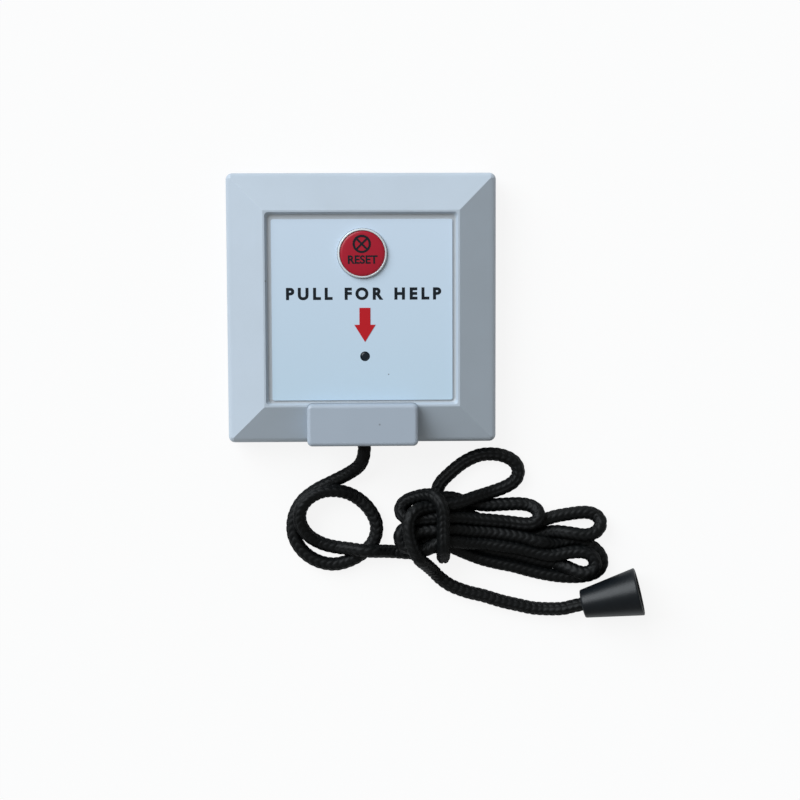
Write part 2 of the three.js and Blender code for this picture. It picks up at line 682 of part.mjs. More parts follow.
// Battery with its end button, its open frame holder and its two contacts
function battery() {
  const end = BATTERY_END_Y + BATTERY_LENGTH;
  const radius = BATTERY_DIAMETER / 2;
  const can = turned([
    [0, 0], [radius - 0.5, 0], [radius, 0.5], [radius, BATTERY_LENGTH - 0.5], [radius - 0.5, BATTERY_LENGTH],
    [BATTERY_BUTTON / 2, BATTERY_LENGTH], [BATTERY_BUTTON / 2, BATTERY_LENGTH + BATTERY_BUTTON_LENGTH],
    [0, BATTERY_LENGTH + BATTERY_BUTTON_LENGTH],
  ], ROUND_STEPS).rotateX(-Math.PI / 2).translate(BATTERY_X, BATTERY_END_Y, BATTERY_Z);
  piece('battery', can, batteryFoil);

  const plateY = end + BATTERY_BUTTON_LENGTH + SEAT_GAP;
  const springPlateY = BATTERY_END_Y - CONTACT_SPRING_LENGTH - CONTACT_THICKNESS;
  const innerHalf = radius + SEAT_GAP;
  const outerHalf = innerHalf + HOLDER_WALL;
  const low = springPlateY - SEAT_GAP;
  const high = plateY + CONTACT_THICKNESS + SEAT_GAP;
  const top = BASE_THICKNESS + HOLDER_HEIGHT;
  const frame = block(
    [BATTERY_X - outerHalf, low - HOLDER_WALL, BASE_THICKNESS], [BATTERY_X + outerHalf, high + HOLDER_WALL, top],
  );
  const well = block([BATTERY_X - innerHalf, low, 0], [BATTERY_X + innerHalf, high, top + 1]);
  piece('battery_holder', joined(frame, [], [well]), blackPlastic);

  // Each contact has an upright plate, a tab over the holder's rail and a foot on the board
  function contact(y) {
    const tabBottom = top + SEAT_GAP;
    const foot = BOARD_LEFT + CONTACT_TAB;
    const upright = block(
      [BATTERY_X - CONTACT_WIDTH / 2, y, BASE_REST],
      [BATTERY_X + CONTACT_WIDTH / 2, y + CONTACT_THICKNESS, CONTACT_TOP],
    );
    const tab = block([BATTERY_X, y, tabBottom], [foot, y + CONTACT_THICKNESS, tabBottom + CONTACT_TAB]);
    const leg = block([foot - CONTACT_TAB / 2, y, BOARD_FACE], [foot, y + CONTACT_THICKNESS, tabBottom + CONTACT_TAB]);
    return { upright, parts: [tab, leg] };
  }

  const plate = contact(plateY);
  piece('battery_contact_plate', joined(plate.upright, plate.parts), steel);

  const spring = contact(springPlateY);
  const line = new CoilAlongY(
    BATTERY_X, BATTERY_Z, CONTACT_WIDTH / 2 - CONTACT_SPRING_WIRE, springPlateY + CONTACT_THICKNESS / 2,
    BATTERY_END_Y - SEAT_GAP - CONTACT_SPRING_WIRE / 2, CONTACT_SPRING_TURNS, CONTACT_WIDTH / 4,
  );
  piece('battery_contact_spring', joined(spring.upright, [...spring.parts, coil(line, CONTACT_SPRING_WIRE)]), steel);
}

// Cord hood: a box over the foot of the face with rounded front edges, open behind and towards the slider
function cordHood() {
  const half = HOOD_WIDTH / 2;
  const halfY = (HOOD_TOP_Y - HOOD_BOTTOM_Y) / 2;
  const middleY = (HOOD_TOP_Y + HOOD_BOTTOM_Y) / 2;
  const levels = [{ half, halfY, radius: HOOD_CORNER, z: 0 }];
  for (let step = 0; step <= CORNER_STEPS; step += 1) {
    const angle = (Math.PI / 2) * (step / CORNER_STEPS);
    const inset = HOOD_ROUND * (1 - Math.cos(angle));
    levels.push({
      half: half - inset,
      halfY: halfY - inset,
      radius: HOOD_CORNER - inset,
      z: HOOD_HEIGHT - HOOD_ROUND * (1 - Math.sin(angle)),
    });
  }
  const whole = solid(loft(levels, HOOD_X, middleY));
  const room = block(
    [HOOD_X - half + HOOD_WALL, HOOD_INNER_Y, 0], [HOOD_X + half - HOOD_WALL, HOOD_TOP_Y - HOOD_WALL, HOOD_HEIGHT - HOOD_WALL],
  );
  const way = block(
    [HOOD_X - half + HOOD_WALL, HOOD_INNER_Y, 0], [HOOD_X + half - HOOD_WALL, HOOD_TOP_Y + 1, FACE_UNDERSIDE - SEAT_GAP],
  );
  let hood = whole.subtract(solid(room)).subtract(solid(way));
  for (const [x, y] of hoodScrews) {
    hood = hood.add(solid(post(x, y, BOSS_DIAMETER, BASE_REST, HOOD_HEIGHT)).intersect(whole));
    hood = hood.subtract(solid(post(x, y, screwHole, 0, SCREW_LENGTH + BASE_REST)));
  }
  hood = hood.subtract(solid(block(
    [HOOD_X - half - 1, -BASE_SIDE / 2 - SEAT_GAP, -1], [HOOD_X + half + 1, HOOD_TOP_Y + 1, BASE_REST],
  )));
  const hole = GROMMET_BARREL + 2 * SEAT_GAP;
  hood = hood.subtract(solid(barAlongY(CORD_X, CORD_Z, hole, HOOD_BOTTOM_Y - 1, HOOD_INNER_Y + 1, ROUND_STEPS)));
  piece('cord_hood', geometryOf(hood), shellPlastic);
}

// Grommet that lines the cord's hole, flanged inside the hood
function cordGrommet() {
  const wall = HOOD_INNER_Y - HOOD_BOTTOM_Y + SEAT_GAP;
  const ring = turned([
    [CORD_HOLE / 2, 0], [GROMMET_BARREL / 2, 0], [GROMMET_BARREL / 2, wall],
    [GROMMET_FLANGE / 2, wall], [GROMMET_FLANGE / 2, wall + GROMMET_FLANGE_THICKNESS],
    [CORD_HOLE / 2, wall + GROMMET_FLANGE_THICKNESS], [CORD_HOLE / 2, 0],
  ], ROUND_STEPS).rotateX(-Math.PI / 2);
  piece('cord_grommet', ring.translate(CORD_X, HOOD_BOTTOM_Y, CORD_Z), blackPlastic);
}

const switchStart = SLIDER_FRONT_Y - 0.8;
const switchBottom = CORD_Z - SWITCH_HEIGHT / 2;
const switchPlungerY = switchStart + SWITCH_PLUNGER_OFFSET;
const sliderSide = CORD_X + SLIDER_WIDTH / 2;
const switchTip = sliderSide + 1.2;
const switchLeft = switchTip + SWITCH_PROUD;
const sliderBack = SLIDER_FRONT_Y + SLIDER_LENGTH;
const knotSeat = sliderBack - SLIDER_POCKET_DEPTH;

// Slider: a block on the cord, with a pocket for the knot and a ramp that works the switch
function pullSlider() {
  const body = block(
    [CORD_X - SLIDER_WIDTH / 2, SLIDER_FRONT_Y, SLIDER_BOTTOM], [sliderSide, sliderBack, SLIDER_TOP],
  );
  const contactY = switchPlungerY + SWITCH_PLUNGER / 2;
  const rampAt = (y) => switchTip - PRESS_GAP + RAMP_SLOPE * (y - contactY);
  const outline = new THREE.Shape([
    [sliderSide - 1, SLIDER_FRONT_Y + 1], [rampAt(SLIDER_FRONT_Y + 1), SLIDER_FRONT_Y + 1],
    [rampAt(sliderBack), sliderBack], [sliderSide - 1, sliderBack],
  ].map(([x, y]) => new THREE.Vector2(x, y)));
  const ramp = new THREE.ExtrudeGeometry(outline, { depth: RAMP_HEIGHT, bevelEnabled: false });
  ramp.translate(0, 0, CORD_Z - RAMP_HEIGHT / 2);
  const cut = [
    barAlongY(CORD_X, CORD_Z, CORD_HOLE, SLIDER_FRONT_Y - 1, sliderBack, ROUND_STEPS),
    barAlongY(CORD_X, CORD_Z, SLIDER_POCKET, knotSeat, sliderBack + 1, ROUND_STEPS),
  ];
  piece('pull_slider', joined(body, [ramp], cut), whitePlastic);
}

// Return spring between the grommet's flange and the slider
function pullSpring() {
  const flange = HOOD_INNER_Y + SEAT_GAP + GROMMET_FLANGE_THICKNESS;
  const line = new CoilAlongY(
    CORD_X, CORD_Z, (SPRING_DIAMETER - SPRING_WIRE) / 2, flange + SEAT_GAP + SPRING_WIRE / 2,
    SLIDER_FRONT_Y - SEAT_GAP - SPRING_WIRE / 2, SPRING_TURNS,
  );
  piece('pull_spring', coil(line, SPRING_WIRE, 14), steel);
}

// The small switch beside the slider: its case with terminals, and its plunger
function pullSwitch() {
  const body = block(
    [switchLeft, switchStart, switchBottom],
    [switchLeft + SWITCH_DEPTH, switchStart + SWITCH_LENGTH, switchBottom + SWITCH_HEIGHT],
  );
  const terminals = wireStarts.map(([x, y, z]) => block([x - SWITCH_TERMINAL_LENGTH, y - 0.9, z - 0.25], [x, y + 0.9, z + 0.25]));
  const depth = SWITCH_PLUNGER_DEPTH + RAMP_SLOPE * PULL_TRAVEL + SEAT_GAP;
  const hole = SWITCH_PLUNGER / 2 + SEAT_GAP;
  const well = block(
    [switchLeft - 1, switchPlungerY - hole, CORD_Z - hole], [switchLeft + depth, switchPlungerY + hole, CORD_Z + hole],
  );
  piece('pull_switch_body', joined(body, terminals, [well]), blackPlastic);
  const half = SWITCH_PLUNGER / 2;
  const plunger = block(
    [switchTip, switchPlungerY - half, CORD_Z - half],
    [switchLeft + SWITCH_PLUNGER_DEPTH, switchPlungerY + half, CORD_Z + half],
  );
  piece('pull_switch_plunger', plunger, redPlastic);
}

// Two sleeved wires from the switch's terminals to the board
const terminalEnd = switchLeft + SWITCH_DEPTH + SWITCH_TERMINAL_LENGTH - 0.4;
const wireStarts = [6.8, 10.4].map((offset) => [terminalEnd, switchStart + offset, CORD_Z]);

function switchWires() {
  const names = ['switch_wire_red', 'switch_wire_black'];
  const looks = [redSleeve, blackPlastic];
  const padY = BOARD_BOTTOM + 3;
  const landing = BOARD_FACE + SEAT_GAP;
  wireStarts.forEach(([x, y, z], number) => {
    const bend = x + WIRE_REACH[number];
    const padX = bend - 1;
    const line = [
      [x + SEAT_GAP, y, z], [bend, y + 1.2, z], [bend, padY - 2.5, z],
      [padX, padY, z - 0.6], [padX, padY + 0.3, landing],
    ];
    piece(names[number], bentBar(line, WIRE_DIAMETER, 16, 6), looks[number]);
  });
}

// The knots are drawn tight: squat balls about +Y before they are turned
function knot(diameter, length) {
  const points = [];
  const steps = 8;
  for (let step = 0; step <= steps; step += 1) {
    const angle = Math.PI * (step / steps - 0.5);
    points.push([Math.max(0, (diameter / 2) * Math.cos(angle)), (length / 2) * (1 + Math.sin(angle))]);
  }
  return turned(points, SMALL_ROUND_STEPS);
}

function sliderKnot() {
  const ball = knot(SLIDER_KNOT_DIAMETER, SLIDER_KNOT_LENGTH).rotateX(-Math.PI / 2);
  piece('slider_knot', ball.translate(CORD_X, knotSeat + SEAT_GAP, CORD_Z), cordBraid);
}

// Route of the cord from the knot in the slider, out of the hood, twice round the small loop, to the hank
const leadRoute = [
  [CORD_X, knotSeat, CORD_Z], [CORD_X, -38, CORD_Z], [CORD_X, -44.5, CORD_Z],
  [0.6, -45.8, 9.1], [0.2, -48.7, 8.3], [-1.2, -51.7, 6], [-5.1, -54.8, 2.9], [-10.1, -57.4, 2.1],
  [-15.4, -60.1, 2.1], [-20, -63.8, 2.1], [-22.7, -69, 2.1], [-22.9, -74.9, 2.1], [-20.2, -80.1, 2.1],
  [-15.5, -83.6, 2.1], [-9.7, -84.9, 2.1], [-4, -83.5, 2.1], [1, -80.3, 2.1], [4, -76.1, 2.1],
  [4.4, -71.3, 2.1], [1.9, -66.3, 2.1], [-2.4, -62.4, 2.6], [-7.3, -60.2, 4.8], [-13, -60.1, 5.8],
  [-17.9, -62.5, 6], [-20.4, -66, 5.9], [-20.6, -70.3, 5.3], [-18.3, -74.6, 4], [-14.3, -77.6, 2.2],
  [-9.4, -79.1, 2.1], [-4.4, -79.5, 4], [-0.2, -79.8, 5.8], [3.5, -80.1, 5.6], [7.1, -80.5, 3.5],
  [9.2, -80.7, 2.8],
];

// Open bight that stands out of the top of the hank
const bightRoute = [
  [25.4, -58.8, 2.1], [28.9, -54.8, 2.1], [33.6, -51.1, 2.1], [38.9, -48.8, 2.1], [44.8, -48.7, 2.1],
  [48.8, -50.1, 2.1], [50.7, -51.8, 2.1], [51.5, -53.9, 2.1], [51.2, -56.1, 2.1], [49.7, -58, 2.1],
  [45.9, -60.1, 2.1],
];

// Tail from the second wrap, over the hank's edge, along the table and straight into the knob
const tilt = [
  Math.cos(KNOB_TILT) * Math.cos(THREE.MathUtils.degToRad(KNOB_TURN)),
  Math.cos(KNOB_TILT) * Math.sin(THREE.MathUtils.degToRad(KNOB_TURN)),
  Math.sin(KNOB_TILT),
];
const onKnobAxis = (distance) => [
  KNOB_X + tilt[0] * distance, KNOB_Y + tilt[1] * distance, KNOB_Z + tilt[2] * distance,
];
const tailRoute = [
  [23.6, -87.7, 4.9], [24.5, -88.8, 4.3], [25.9, -90.2, 3.2], [28.9, -92.3, 2.1], [34.3, -94.5, 2.1],
  [40.1, -96, 2.1], [45.8, -97.8, 2.1], [51.6, -99.2, 2.1], [57.5, -100.4, 2.1],
  onKnobAxis(-7), onKnobAxis(-3), onKnobAxis(KNOB_FLOOR),
];

// Outline of the hank on the table, and of its wrapped end
const hankOutline = [
  [10.4, -67], [11, -63.7], [13.3, -61.6], [16.6, -60.7], [22.3, -60.9], [23.2, -58.4], [26.2, -60.8],
  [32.9, -62.2], [40.2, -60.9], [44.1, -58.7], [45.9, -62], [52.2, -63.3], [57.8, -65.1], [61.5, -67.4],
  [68.8, -67.3], [75.5, -65.9], [79.9, -67.9], [81.9, -72.3], [80.9, -75.7], [80.3, -79.4], [82, -83.8],
  [82, -87.8], [79.7, -90.1], [75.7, -91.1], [67.3, -91.7], [58.9, -91], [53.4, -89.3], [45.6, -86.5],
  [39.2, -84.2], [34.2, -83], [28.9, -85.3], [24.4, -85.5], [21.5, -87.8], [19.5, -85.3], [17.2, -84.7],
  [12.9, -84.4], [10.3, -83.2], [10.2, -78], [11, -73],
];
const wrapOutline = [
  [12.4, -66.5], [14.6, -62.6], [19, -61.8], [28.5, -62.6], [30.6, -66], [30.6, -79], [28.4, -83.9],
  [22, -84.9], [16.6, -83.2], [13.6, -78],
];

function prism(outline, height) {
  const shape = new THREE.Shape(outline.map(([x, y]) => new THREE.Vector2(x, y)));
  return new THREE.ExtrudeGeometry(shape, { depth: height, bevelEnabled: false });
}

function cord() {
  piece('cord_lead', bentBar(leadRoute, CORD_DIAMETER, 40), cordBraid);
  piece('cord_bight', bentBar(bightRoute, CORD_DIAMETER, 12), cordBraid);
  piece('cord_tail', bentBar(tailRoute, CORD_DIAMETER, 14), cordBraid);
  piece('cord_hank', joined(prism(hankOutline, HANK_HEIGHT), [prism(wrapOutline, WRAP_HEIGHT)]), cordBraid);
}

// Pull knob: a hollow cone with a hole in its small end, and the knot that holds it
function pullKnob() {
  const resting = new THREE.Group();
  resting.position.set(KNOB_X, KNOB_Y, KNOB_Z);
  resting.rotation.set(0, Math.PI / 2 - KNOB_TILT, THREE.MathUtils.degToRad(KNOB_TURN), 'ZYX');
  alarm.add(resting);
  const small = KNOB_SMALL_END / 2;
  const big = KNOB_BIG_END / 2;
  const radiusAt = (distance) => small + ((big - small) * distance) / KNOB_LENGTH;
  const cone = turned([
    [KNOB_HOLE / 2, 0], [small - KNOB_ROUND, 0], [radiusAt(KNOB_ROUND), KNOB_ROUND],
    [big - KNOB_ROUND / 4, KNOB_LENGTH - KNOB_ROUND], [big - KNOB_ROUND, KNOB_LENGTH],
    [big - KNOB_WALL, KNOB_LENGTH], [radiusAt(KNOB_FLOOR) - KNOB_WALL, KNOB_FLOOR],
    [KNOB_HOLE / 2, KNOB_FLOOR], [KNOB_HOLE / 2, 0],
  ], ROUND_STEPS);
  piece('pull_knob', cone, knobPlastic, resting);
  const ball = knot(KNOB_KNOT_DIAMETER, KNOB_KNOT_LENGTH);
  const mesh = piece('knob_knot', ball, cordBraid, resting);
  mesh.position.z = KNOB_FLOOR + SEAT_GAP;
}

frontCover();
rearBase();
label();
cancelButton();
buttonSwitch();
lamp();
circuitBoard();
controllerChip();
radioCrystal();
antenna();
battery();
cordHood();
cordGrommet();
pullSlider();
pullSpring();
pullSwitch();
switchWires();
sliderKnot();
cord();
pullKnob();
hoodScrews.forEach(([x, y], number) => {
  screw(`hood_screw_${number + 1}`, x, y, SCREW_HEAD_HEIGHT + INSET_GAP, SCREW_LENGTH, 1);
});
boardScrews.forEach(([x, y], number) => {
  screw(`board_screw_${number + 1}`, x, y, BOARD_FACE, BOARD_SCREW_LENGTH, -1);
});

export default alarm;
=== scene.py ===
"""Emergency pull cord alarm on its back: a wall call unit, its hanked pull cord and the hollow knob."""

import math

import bmesh
import bpy
import numpy as np
from mathutils import Matrix, Vector


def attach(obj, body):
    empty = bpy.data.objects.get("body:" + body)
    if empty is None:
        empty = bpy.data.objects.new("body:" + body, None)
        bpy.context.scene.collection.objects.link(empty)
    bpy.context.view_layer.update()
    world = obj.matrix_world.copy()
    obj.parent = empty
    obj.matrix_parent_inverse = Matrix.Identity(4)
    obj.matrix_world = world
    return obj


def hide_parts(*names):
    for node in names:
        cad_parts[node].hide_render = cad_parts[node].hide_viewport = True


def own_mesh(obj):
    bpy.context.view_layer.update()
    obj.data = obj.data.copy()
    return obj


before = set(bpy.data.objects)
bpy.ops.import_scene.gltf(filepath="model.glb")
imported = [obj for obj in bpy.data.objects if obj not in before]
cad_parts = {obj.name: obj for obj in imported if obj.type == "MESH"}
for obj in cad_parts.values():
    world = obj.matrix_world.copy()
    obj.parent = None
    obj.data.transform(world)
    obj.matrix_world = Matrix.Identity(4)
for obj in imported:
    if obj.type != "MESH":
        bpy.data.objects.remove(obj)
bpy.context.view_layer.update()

MM = 0.001

# Unit, in millimetres as in the part's source
PLATE = 86.8
PLATE_CORNER = 2.0
EDGE_HEIGHT = 10.5
RIDGE_HEIGHT = 17.0
RIDGE_WIDTH = 0.6
RECESS = 61.4
RECESS_CORNER = 1.1
RECESS_FLOOR = 15.3
RECESS_DRAFT = 0.9  # how far its walls lean in
COVER_WALL = 2.2
FACE_UNDERSIDE = 13.3
LABEL_TOP = 15.8
BUTTON_X, BUTTON_Y = 0.3, 17.6
BUTTON_DIAMETER = 15.9
LAMP_X, LAMP_Y = 1.0, -15.2
HOOD_X = 0.1
HOOD_WIDTH = 35.4
HOOD_TOP_Y, HOOD_BOTTOM_Y = -30.2, -43.7
HOOD_HEIGHT = 20.5
HOOD_WALL = 1.8
HOOD_CORNER = 1.6
HOOD_ROUND = 1.3
HOOD_FOOT_Y = -41.15  # its foot ends here, in front of the base
BASE_THICKNESS = 2.3  # with its clearance
HOOD_GAP = 0.08  # the line between hood and cover
SEAT_GAP = 0.3
CORD_X, CORD_Z = 0.6, 9.0
CORD_DIAMETER = 4.0
KNOB_SMALL_END, KNOB_BIG_END, KNOB_LENGTH = 9.3, 16.0, 19.3
KNOB_X, KNOB_Y = 72.8, -98.6
KNOB_TURN = math.radians(14.4)
KNOB_TILT = math.atan2((KNOB_BIG_END - KNOB_SMALL_END) / 2, KNOB_LENGTH)
KNOB_Z = KNOB_SMALL_END / 2 * math.cos(KNOB_TILT) + 0.02
KNOB_FLOOR = 2.0
KNOB_WALL = 1.3
KNOB_BORE = 2.4  # radius of the cord's hole
GROMMET_BORE, GROMMET_BARREL, GROMMET_FLANGE = 2.4, 3.3, 4.5  # radii

# Braid of the cord, in millimetres
STITCH = 2.1
STITCH_COLUMNS = 6
STITCH_RELIEF = 0.5
STITCH_SLANT = 0.9
RING_STEP = 0.36
RING_SIDES = 32


# Camera


def make_camera():
    """The photograph's view: square on to the face, a little below its middle, through a 72 mm lens."""
    data = bpy.data.cameras.new("camera")
    data.lens = 72
    data.sensor_width = 36
    data.clip_start = 0.01
    data.clip_end = 10
    camera = bpy.data.objects.new("camera", data)
    forward = Vector((0.02499, -0.08411, -0.99614)).normalized()
    right = forward.cross(Vector((0.00585, 0.99645, -0.08399))).normalized()
    up = right.cross(forward)
    turn = Matrix((right, up, -forward)).transposed()
    camera.matrix_world = Matrix.Translation(Vector((-0.72, 13.89, 527.05)) * MM) @ turn.to_4x4()
    bpy.context.scene.collection.objects.link(camera)
    bpy.context.scene.camera = camera


# Cord

# From the slider's knot out of the hood, and twice round the small loop
LEAD = [
    (0.6, -30.6, 9), (0.6, -38, 9), (0.6, -44.5, 9), (0.6, -45.8, 9.1), (0.2, -48.7, 8.3),
    (-1.2, -51.7, 6), (-5.1, -54.8, 2.9), (-10.1, -57.4, 2), (-15.4, -60.1, 2), (-20, -63.8, 2),
    (-22.7, -69, 2), (-22.9, -74.9, 2), (-20.2, -80.1, 2), (-15.5, -83.6, 2), (-9.7, -84.9, 2),
    (-4, -83.5, 2), (1, -80.3, 2), (4, -76.1, 2), (4.4, -71.3, 2), (1.9, -66.3, 2), (-2.4, -62.4, 2.6),
    (-7.3, -60.2, 4.8), (-13, -60.1, 5.8), (-17.9, -62.5, 6), (-20.4, -66, 5.9), (-20.6, -70.3, 5.3),
    (-18.3, -74.6, 4), (-14.3, -77.6, 2.2), (-9.4, -79.1, 2.1), (-4.4, -79.5, 4), (-0.2, -79.8, 5.8),
    (3.5, -80.1, 5.6), (7.1, -80.5, 3.5), (11.7, -81, 2),
]
# Along the hank's lower edge and back over it, then round the left end
FIRST_RUN = [
    (17, -81.3, 2), (20, -80.5, 2.1), (22.3, -79.6, 3.3), (23.7, -78.9, 4.8), (25.3, -78.4, 5.8),
    (27.3, -78.4, 5.8), (29.3, -78.9, 5.4), (33.1, -80.8, 3.8), (38.4, -83.2, 2.1), (44.1, -84.8, 2),
    (49.8, -86, 2), (55.5, -87.6, 2), (61.2, -88.9, 2), (67, -89.7, 2), (72.9, -89.7, 2),
    (76.4, -88.9, 2), (78.4, -87.6, 2), (79.4, -85.7, 2), (79.3, -83.6, 2), (78.2, -81.6, 2),
    (75.4, -79.2, 2), (71.2, -77.4, 2), (67, -77.8, 2), (62.8, -78.4, 3.3), (58.4, -77.4, 5.6),
    (53, -75.8, 5.7), (47.2, -74.8, 5.7), (41.5, -74, 5.6), (35.8, -73.5, 6.3), (30.3, -72.7, 7.9),
    (24.6, -72.6, 9.4), (20.3, -72.8, 9.3), (18.2, -73.3, 9.2), (16.7, -74.3, 9.2), (16, -75.9, 9.2),
    (16.4, -77.6, 9.3), (17.6, -78.8, 9.3), (19.3, -79.3, 9.1), (21.2, -78.9, 9.1), (23.3, -77.6, 9.2),
]
# Out to the lower right end inside the first fold, and back round the lower left fold
SECOND_RUN = [
    (25.9, -76.4, 9.4), (28.9, -76.4, 9), (33.9, -77.3, 7), (39.5, -77.8, 5.7), (45.2, -78.6, 5.6),
    (51, -79.5, 5.4), (56.6, -80.9, 5), (62.4, -82.1, 5.1), (68.3, -81.2, 5), (72.4, -81, 5.2),
    (74.7, -81.6, 5.2), (76.1, -82.8, 5.3), (76.8, -84.5, 5.3), (76.5, -86.1, 5.4), (75.2, -87.4, 5.6),
    (73.4, -87.9, 5.6), (71.2, -87.6, 5.3), (67.8, -86.3, 4), (63.7, -85, 2.2), (59, -84.2, 2),
    (53.3, -82.6, 2), (47.6, -81.3, 2), (41.9, -80.2, 2), (36.4, -78.2, 2.1), (31.2, -75.8, 3.2),
    (28, -74.6, 5), (25.1, -74.4, 5.9), (22, -75.4, 5.8), (19.4, -77.6, 5.4), (17.5, -78.9, 5.3),
    (15.6, -79.2, 5.4), (13.8, -78.7, 5.3), (12.6, -77.3, 5.2), (12.2, -75.4, 5.2), (12.9, -73.6, 5.1),
    (14.4, -72.3, 5.2), (16.8, -71.6, 5.4), (21.6, -71, 5.7),
]
# Out to the upper right fold and back round the hidden left fold
THIRD_RUN = [
    (26.1, -70.4, 5.7), (30.6, -71.3, 4), (35.9, -73.6, 2.2), (41.2, -75.8, 2), (46.9, -77.2, 2),
    (52.7, -77.3, 2), (58.3, -75.7, 2), (63.3, -74.5, 2.8), (68.6, -74.7, 5), (73.3, -75.3, 5.5),
    (76.1, -74.8, 5.2), (77.8, -73.7, 4.7), (78.7, -72.2, 4), (78.6, -70.6, 3.1), (77.5, -69.3, 2.4),
    (75.8, -68.5, 2.1), (73.4, -68.2, 2), (68.5, -68.7, 2), (62.7, -69.8, 2), (57.1, -71.9, 2),
    (51.4, -73.4, 2), (45.7, -73, 2), (40.3, -71.2, 2), (35, -68.8, 2.4), (29.5, -66.9, 4.4),
    (26.5, -66.5, 5.6), (24, -66.6, 5.8), (21.9, -67.1, 4.7), (20.1, -68.1, 3), (18, -69.2, 2.1),
    (16.1, -69.4, 2), (14.4, -68.8, 2), (13.4, -67.4, 2), (13.5, -65.7, 2), (14.5, -64.1, 2),
    (16.3, -63.1, 2.1), (18.9, -62.7, 2.7), (21.3, -62.7, 4.5), (23.5, -62.6, 5.8),
]
# Out to the short fold at the top edge, and back round the upper left fold
FOURTH_RUN = [
    (26.1, -62.5, 5.7), (29.5, -62.8, 4.4), (35, -64.6, 2.5), (40.7, -65.5, 2), (46.6, -65.3, 2),
    (52, -65.2, 2), (55.2, -65.7, 2.5), (57, -66.5, 3.4), (58, -67.8, 4.4), (58.1, -69.2, 5.4),
    (57.1, -70.5, 5.8), (55.4, -71.3, 5.8), (53.2, -71.4, 5.6), (48.7, -70.9, 5.1), (42.8, -70.2, 5.5),
    (37, -69.6, 6.1), (31.3, -68.8, 7.5), (25.6, -68.5, 9.3), (19.6, -68.9, 9.2), (16.2, -69.1, 8.8),
    (14.2, -68.8, 8.2), (12.9, -67.8, 7.4), (12.4, -66.4, 6.6), (12.9, -64.8, 6.1), (14.2, -63.5, 5.9),
    (16.2, -62.5, 6.3), (19.7, -61.3, 8.1), (22.4, -60.9, 10.5), (24.3, -62.1, 12.4),
]
# Down over the front as the first wrap, back under the bundle and out as the open bight
FIRST_WRAP = [
    (25.6, -64.4, 13.3), (26.1, -67.3, 13.3), (26.1, -72.8, 13.3), (26.2, -76.1, 13.4),
    (26.3, -78.8, 12.5), (26.3, -80.8, 9.8), (26.4, -82.1, 6.8), (26.5, -81.9, 4.3),
    (26.5, -80.6, 2.7), (26.4, -78.8, 2.1), (25.9, -76.8, 2), (25, -72.5, 2), (24.8, -66.6, 2),
    (24.4, -61.9, 2), (25.6, -58.3, 2), (28.9, -54.8, 2), (33.6, -51.1, 2), (38.9, -48.8, 2),
    (44.8, -48.7, 2), (48.8, -50.1, 2), (50.7, -51.8, 2), (51.5, -53.9, 2), (51.2, -56.1, 2),
    (49.7, -58, 2), (46.7, -59.7, 2), (41.7, -61.4, 2.7), (36.7, -62.5, 5.5), (31.5, -63.9, 7.8),
]
# Under the first wrap, down over the front as the second, and off along the table to the knob
SECOND_WRAP = [
    (25.9, -64.6, 9.2), (20.4, -65, 10.2), (17.6, -65.7, 11.5), (15.8, -67.3, 12.5),
    (14.9, -69.9, 13.1), (15.1, -74.1, 13.3), (16.7, -79, 13.2), (18.5, -81.9, 12.1), (20.5, -84, 9.1),
    (23.1, -87, 4.7), (25.5, -89.8, 2.4), (28.9, -92.3, 2), (34.3, -94.5, 2), (40.1, -96, 2),
    (45.8, -97.8, 2), (51.6, -99.2, 2), (57.5, -100.4, 2),
]


def knob_axis_point(distance):
    """A point on the knob's axis, at a distance from the centre of its small end."""
    along = Vector((
        math.cos(KNOB_TILT) * math.cos(KNOB_TURN),
        math.cos(KNOB_TILT) * math.sin(KNOB_TURN),
        math.sin(KNOB_TILT),
    ))
    return tuple(Vector((KNOB_X, KNOB_Y, KNOB_Z)) + along * distance)


def smooth_line(points, step):
    """Evenly spaced points on the centripetal Catmull-Rom curve through the points."""
    given = np.array(points, float)
    given = np.vstack([2 * given[0] - given[1], given, 2 * given[-1] - given[-2]])
    line = []
    for p0, p1, p2, p3 in zip(given, given[1:], given[2:], given[3:]):
        t1 = np.linalg.norm(p1 - p0) ** 0.5
        t2 = t1 + np.linalg.norm(p2 - p1) ** 0.5
        t3 = t2 + np.linalg.norm(p3 - p2) ** 0.5
        t = np.linspace(t1, t2, 24, endpoint=False)[:, None]
        a1 = (t1 - t) / t1 * p0 + t / t1 * p1
        a2 = (t2 - t) / (t2 - t1) * p1 + (t - t1) / (t2 - t1) * p2
        a3 = (t3 - t) / (t3 - t2) * p2 + (t - t2) / (t3 - t2) * p3
        b1 = (t2 - t) / t2 * a1 + t / t2 * a2
        b2 = (t3 - t) / (t3 - t1) * a2 + (t - t1) / (t3 - t1) * a3
        line.extend((t2 - t) / (t2 - t1) * b1 + (t - t1) / (t2 - t1) * b2)
    line.append(given[-2])
    line = np.array(line)
    lengths = np.r_[0, np.cumsum(np.linalg.norm(np.diff(line, axis=0), axis=1))]
    places = np.linspace(0, lengths[-1], max(2, round(lengths[-1] / step)) + 1)
    even = np.stack([np.interp(places, lengths, line[:, axis]) for axis in range(3)], 1)
    # no stitch goes through the table
    even[:, 2] = np.maximum(even[:, 2], CORD_DIAMETER / 2 + STITCH_RELIEF / 2)
    return even, places


def stitch_height(along, around):
    """Height of the braid, 0 to 1, at a length in millimetres and a share of the way round."""
    column = around * STITCH_COLUMNS
    number = np.floor(column)
    across = column - number - 0.5
    lean = np.where(number % 2 == 0, STITCH_SLANT, -STITCH_SLANT)
    place = along / STITCH + lean * across
    length_way = np.abs(2 * (place - np.floor(place)) - 1)
    side_way = np.abs(2 * across)
    return np.sqrt(np.clip(1 - length_way ** 2.6, 0, 1)) * np.sqrt(np.clip(1 - side_way ** 4, 0, 1))


